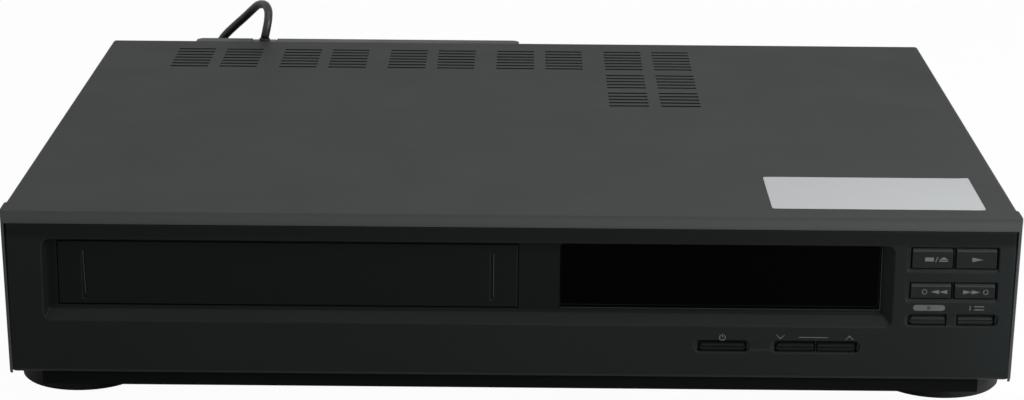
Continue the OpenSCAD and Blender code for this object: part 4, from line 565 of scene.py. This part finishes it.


# Paper sticker on the cover, without print

def sticker():
    """A thin sheet with rounded corners and one slightly lifted."""
    (_, front, _), (right, _, cover_top) = corners_of("top_cover")
    wide, deep, r, from_right, from_front = 91.2, 49.2, 1.6, 14.7, 17
    x1, y0 = right - from_right, front + from_front
    x0, y1 = x1 - wide, y0 + deep
    under, thick, lift, pull_in = 0.02, 0.12, 0.25, 0.6
    curl_x, curl_y = 0.93, 0.85
    nx, ny = 40, 22
    corners = ((x0, y0, 1, 1), (x1, y0, -1, 1), (x0, y1, 1, -1), (x1, y1, -1, -1))
    verts, faces = [], []
    for side in (0, 1):
        for j in range(ny + 1):
            for i in range(nx + 1):
                x = x0 + (x1 - x0) * i / nx
                y = y0 + (y1 - y0) * j / ny
                for cx, cy, sx, sy in corners:
                    dx, dy = (cx + sx * r - x) * sx, (cy + sy * r - y) * sy
                    reach = math.hypot(dx, dy)
                    if dx > 0 and dy > 0 and reach > r:
                        pull = (1 - max(dx, dy) / reach) * pull_in
                        x += sx * dx * pull
                        y += sy * dy * pull
                rise_x = max(0, (i / nx - curl_x) / (1 - curl_x))
                rise_y = max(0, (j / ny - curl_y) / (1 - curl_y))
                curl = lift * (rise_x * rise_y) ** 2
                verts.append((x, y, cover_top + under + side * thick + curl))
    row = nx + 1
    count = row * (ny + 1)
    for j in range(ny):
        for i in range(nx):
            a = j * row + i
            faces.append((a, a + 1, a + row + 1, a + row))
            faces.append((count + a, count + a + row, count + a + row + 1, count + a + 1))
    rim = list(range(row)) + [j * row + nx for j in range(1, ny + 1)]
    rim += [ny * row + i for i in range(nx - 1, -1, -1)] + [j * row for j in range(ny - 1, 0, -1)]
    for a, b in zip(rim, rim[1:] + rim[:1]):
        faces.append((a, b, count + b, count + a))
    return add_mesh("sticker", verts, faces)


paper = shade("paper", srgb(168, 170, 172), 0.7, specular=0.12, spread=0.03, blotch=40, grain=1500,
              bump=0.1, edge=0.0001, wear_and_glint=0.0)
label = sticker()
coat_with(paper, label)
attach(label, "case")


# Printed marks: thin raised ink on the panel and keys

thin_look = dict(spread=0.08, grain=2500, edge=0.00005, wear_and_glint=0)
ink = shade("ink", srgb(78, 80, 80), 0.5, specular=0.1, **thin_look)
ink_pale = shade("ink_pale", srgb(68, 70, 69), 0.5, specular=0.1, **thin_look)
ink_dark = shade("ink_dark", srgb(30, 31, 31), 0.5, specular=0.3, edge=0.00005, wear_and_glint=0)


def mark(name, shapes, y, body, material, thick=0.04):
    """Flat shapes given as X-Z outlines, standing a hair proud of the face at y.

    Where two shapes share an edge they become one skin, without a wall between them.
    """
    verts, faces, index = [], [], {}

    def corner(point, depth):
        key = (round(point[0], 4), depth, round(point[1], 4))
        if key not in index:
            index[key] = len(verts)
            verts.append((point[0], depth, point[1]))
        return index[key]

    walls = {}
    for outline in shapes:
        faces.append(tuple(corner(p, y) for p in outline))
        faces.append(tuple(corner(p, y - thick) for p in outline[::-1]))
        for a, b in zip(outline, outline[1:] + outline[:1]):
            wall = (corner(a, y), corner(b, y), corner(b, y - thick), corner(a, y - thick))
            walls.setdefault(tuple(sorted(wall)), []).append(wall)
    faces += [same[0] for same in walls.values() if len(same) == 1]
    piece = add_mesh(name, verts, faces)
    coat_with(material, piece)
    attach(piece, body)
    return piece


def box_2d(x0, x1, z0, z1):
    return [(x0, z0), (x1, z0), (x1, z1), (x0, z1)]


def bar(x, z, w, h):
    """A rectangle about its middle."""
    return box_2d(x - w / 2, x + w / 2, z - h / 2, z + h / 2)


def arc(x, z, r, start, end, n):
    turn = [math.radians(start + (end - start) * i / n) for i in range(n + 1)]
    return [(x + r * math.cos(t), z + r * math.sin(t)) for t in turn]


def disc(x, z, r):
    return arc(x, z, r, 0, 360, 28)[:-1]


def ring(x, z, r, w, start=0, end=360):
    """A ring in short four-sided pieces."""
    inner, outer = (arc(x, z, at, start, end, 40) for at in (r, r + w))
    return [[a, b, c, d] for a, b, c, d in zip(inner, outer, outer[1:], inner[1:])]


def pill(x, z, w, h):
    r, straight = h / 2, (w - h) / 2
    return arc(x + straight, z, r, -90, 90, 12) + arc(x - straight, z, r, 90, 270, 12)


def arrow(x, z, w, h, way=1):
    return [(x - way * w / 2, z - h / 2), (x + way * w / 2, z), (x - way * w / 2, z + h / 2)]


def slash(x, z, w, h, lean):
    """A leaning stroke from its lower left corner, z being half height."""
    return [(x, z - h / 2), (x + w, z - h / 2), (x + w + lean, z + h / 2), (x + lean, z + h / 2)]


def eject(x, z, w):
    """An arrowhead that points up over a bar."""
    return [[(x - w / 2, z - 0.1), (x + w / 2, z - 0.1), (x, z + 1.1)], bar(x, z - 0.7, w, 0.5)]


def chevron(x, z, w, h, way, t=0.3):
    """An arrowhead in two strokes that meet at its point."""
    foot, tip, inside = z - way * h / 2, z + way * h / 2, z + way * (h / 2 - t * 1.5)
    return [[(x + side * w / 2, foot), (x, tip), (x, inside), (x + side * (w / 2 - t * 1.3), foot)]
            for side in (-1, 1)]


def on_panel(name, shapes, material, y=FRONT, thick=0.04):
    mark(name, shapes, y, "case", material, thick)


def on_cap(key):
    """Where a high key's mark is printed: at the middle of its cap, a little under half height."""
    drop = 0.35
    (x0, _, z0), (x1, _, z1) = cap_of("button_" + key)
    return (x0 + x1) / 2, (z0 + z1) / 2 - drop


def over_cap(key, rise):
    """A place on the panel at a height over the middle of a low key's cap."""
    (x0, _, _), (x1, _, z1) = cap_of("button_" + key)
    return (x0 + x1) / 2, z1 + rise


def on_key(key, shapes):
    mark("marks_" + key, shapes, cap_of("button_" + key)[0][1], "key_" + key, ink)


x, z = on_cap("stop")
on_key("stop", [bar(x - 1.35, z, 3.7, 1.7), slash(x + 1.1, z, 0.4, 2.2, 0.9)]
       + eject(x + 4.7, z, 3.8))
x, z = on_cap("play")
on_key("play", [arrow(x + 0.5, z, 4.8, 2)])
x, z = on_cap("rewind")
on_key("rewind", ring(x - 2.7, z, 0.8, 0.32)
       + [arrow(x + across, z, 3.6, 1.8, -1) for across in (1.6, 5.1)])
x, z = on_cap("forward")
on_key("forward", ring(x + 4.6, z, 0.8, 0.32)
       + [arrow(x + across, z, 3.6, 1.8) for across in (-3.2, 0.4)])
x, z = over_cap("record", 4.2)
on_panel("marks_record", [pill(x + 0.525, z, 13.5, 2.6)], ink_pale)
on_panel("marks_record_dot", [disc(x + 0.375, z, 0.8)], ink_dark, FRONT - 0.04, 0.03)
x, z = over_cap("speed", 4.2)
on_panel("marks_speed", [bar(x - 2.675, z, 0.4, 2), bar(x + 1.175, z + 0.7, 4.3, 0.4),
                         bar(x + 1.175, z - 0.7, 4.3, 0.4)], ink)
x, z = over_cap("power", 2.6)
on_panel("marks_power", ring(x + 0.05, z, 1.05, 0.36, 120, 420)
         + [bar(x + 0.05, z + 0.9, 0.36, 1.6)], ink)
(down_x, z), (up_x, _) = over_cap("channel_down", 3), over_cap("channel_up", 3)
on_panel("marks_channel", chevron(down_x - 6.275, z, 3.8, 2, -1)
         + chevron(up_x + 5.375, z, 3.8, 2, 1)
         + [box_2d(down_x + 1.525, up_x - 3.825, z - 0.2, z + 0.1)], ink)


# Painted highlights: light lines on the flap and the rim of the display window

# light lines along the flap's grooves: painted highlights of the grooves' edges
line_highlight = shade("line_highlight", srgb(36, 38, 37), 0.4, specular=0.2, **thin_look)
(flap_left, flap_face, flap_low), (flap_right, _, flap_high) = corners_of("cassette_flap")
line_low, line_high = flap_low + 4.5, flap_high - 4.3
line_left, line_right, line_wide = flap_left + 14.2, flap_right - 13.9, 0.3
left_line = slash(line_left + 0.5, (line_low + line_high) / 2, 0.35, line_high - line_low, -0.5)
mark("flap_lines", [left_line, box_2d(line_right, line_right + line_wide, line_low, line_high)],
     flap_face, "flap", line_highlight)


def below_and_right(x0, x1, z0, z1, low_wide, right_wide):
    """A strip along the lower and the right edge of a rectangle."""
    return [[(x0, z0 - low_wide), (x1 + right_wide, z0 - low_wide), (x1 + right_wide, z1),
             (x1, z1), (x1, z0), (x0, z0)]]


foot = RECESS + 0.02
glass = [p for p in points_of("display_window") if p.y < RECESS - 0.2]
glass_left, glass_right = min(p.x for p in glass) - 0.2, max(p.x for p in glass)
glass_low, glass_high = min(p.z for p in glass), max(p.z for p in glass)
rim_right, rim_low, line = 0.8, 1.4, 0.25
mark("window_rim", below_and_right(glass_left, glass_right, glass_low, glass_high,
                                   rim_low, rim_right),
     foot, "case", window_gloss, 0.42)
# a light line along the window's lower and right rim: a painted highlight of its edge
rim_highlight = shade("rim_highlight", srgb(24, 26, 25), 0.4, specular=0.2, **thin_look)
on_panel("window_line", below_and_right(glass_left, glass_right + rim_right, glass_low - rim_low,
                                        glass_high, line, line), rim_highlight, foot, 0.46)


# Studio: pale floor, white backdrop, soft lamps

WHITE = (1, 1, 1, 1)
FLOOR_HALF = 6000
FLOOR_GREY = 0.82
FLOOR_WHITE_SHARE = 0.965  # what the camera sees of the floor is this much plain white
SOFT_LIGHT = 0.3
LAMPS = {  # place, aim, size and watts
    "overhead": ((0.1, -0.45, 1.75), (0, -0.1, 0.05), (2.4, 1.3), 14.5),
    "front_left": ((-1.2, -1.5, 1.1), (0, 0, 0.05), (1.0, 1.0), 2),
    "front_right": ((0.62, -0.62, 0.42), (0.18, -0.17, 0.05), (0.4, 0.4), 8),
}


def lay_floor():
    corners = [(-1, -1), (1, -1), (1, 1), (-1, 1)]
    floor = add_mesh("floor", [(FLOOR_HALF * x, FLOOR_HALF * y, 0) for x, y in corners],
                     [(0, 1, 2, 3)])
    mat = bpy.data.materials.new("floor_card")
    mat.use_nodes = True
    graph = Graph(mat.node_tree)
    rays = graph.node("LightPath").outputs
    card = graph.node("BsdfDiffuse", {"Color": (FLOOR_GREY, FLOOR_GREY, FLOOR_GREY, 1)})
    white = graph.node("Emission", {"Strength": 1})
    both = graph.node("MixShader", {
        "Fac": graph.math("MULTIPLY", rays["Is Camera Ray"], FLOOR_WHITE_SHARE),
        1: card.outputs["BSDF"], 2: white.outputs["Emission"]})
    graph.node("OutputMaterial", {"Surface": both.outputs["Shader"]})
    floor.data.materials.append(mat)


def hang_backdrop():
    """White where it is seen, directly or in a reflection, and a softer light elsewhere."""
    world = bpy.data.worlds.new("studio")
    world.use_nodes = True
    graph = Graph(world.node_tree)
    rays = graph.node("LightPath").outputs
    soft = graph.node("Background", {"Color": WHITE, "Strength": SOFT_LIGHT})
    bright = graph.node("Background", {"Color": WHITE, "Strength": 1})
    seen = graph.math("MAXIMUM", rays["Is Camera Ray"], rays["Is Glossy Ray"])
    both = graph.node("MixShader", {
        "Fac": graph.math("MAXIMUM", seen, rays["Is Transmission Ray"]),
        1: soft.outputs["Background"], 2: bright.outputs["Background"]})
    graph.node("OutputWorld", {"Surface": both.outputs["Shader"]})
    scene.world = world


def hang_lamp(name, at, to, size, power):
    data = bpy.data.lights.new(name, "AREA")
    data.shape = "RECTANGLE"
    data.size, data.size_y = size
    data.energy = power
    light = bpy.data.objects.new(name, data)
    light.location = at
    light.rotation_euler = (Vector(to) - Vector(at)).to_track_quat("-Z", "Y").to_euler()
    scene.collection.objects.link(light)


lay_floor()
hang_backdrop()
for lamp_name, lamp in LAMPS.items():
    hang_lamp(lamp_name, *lamp)
scene.view_settings.view_transform = "Standard"
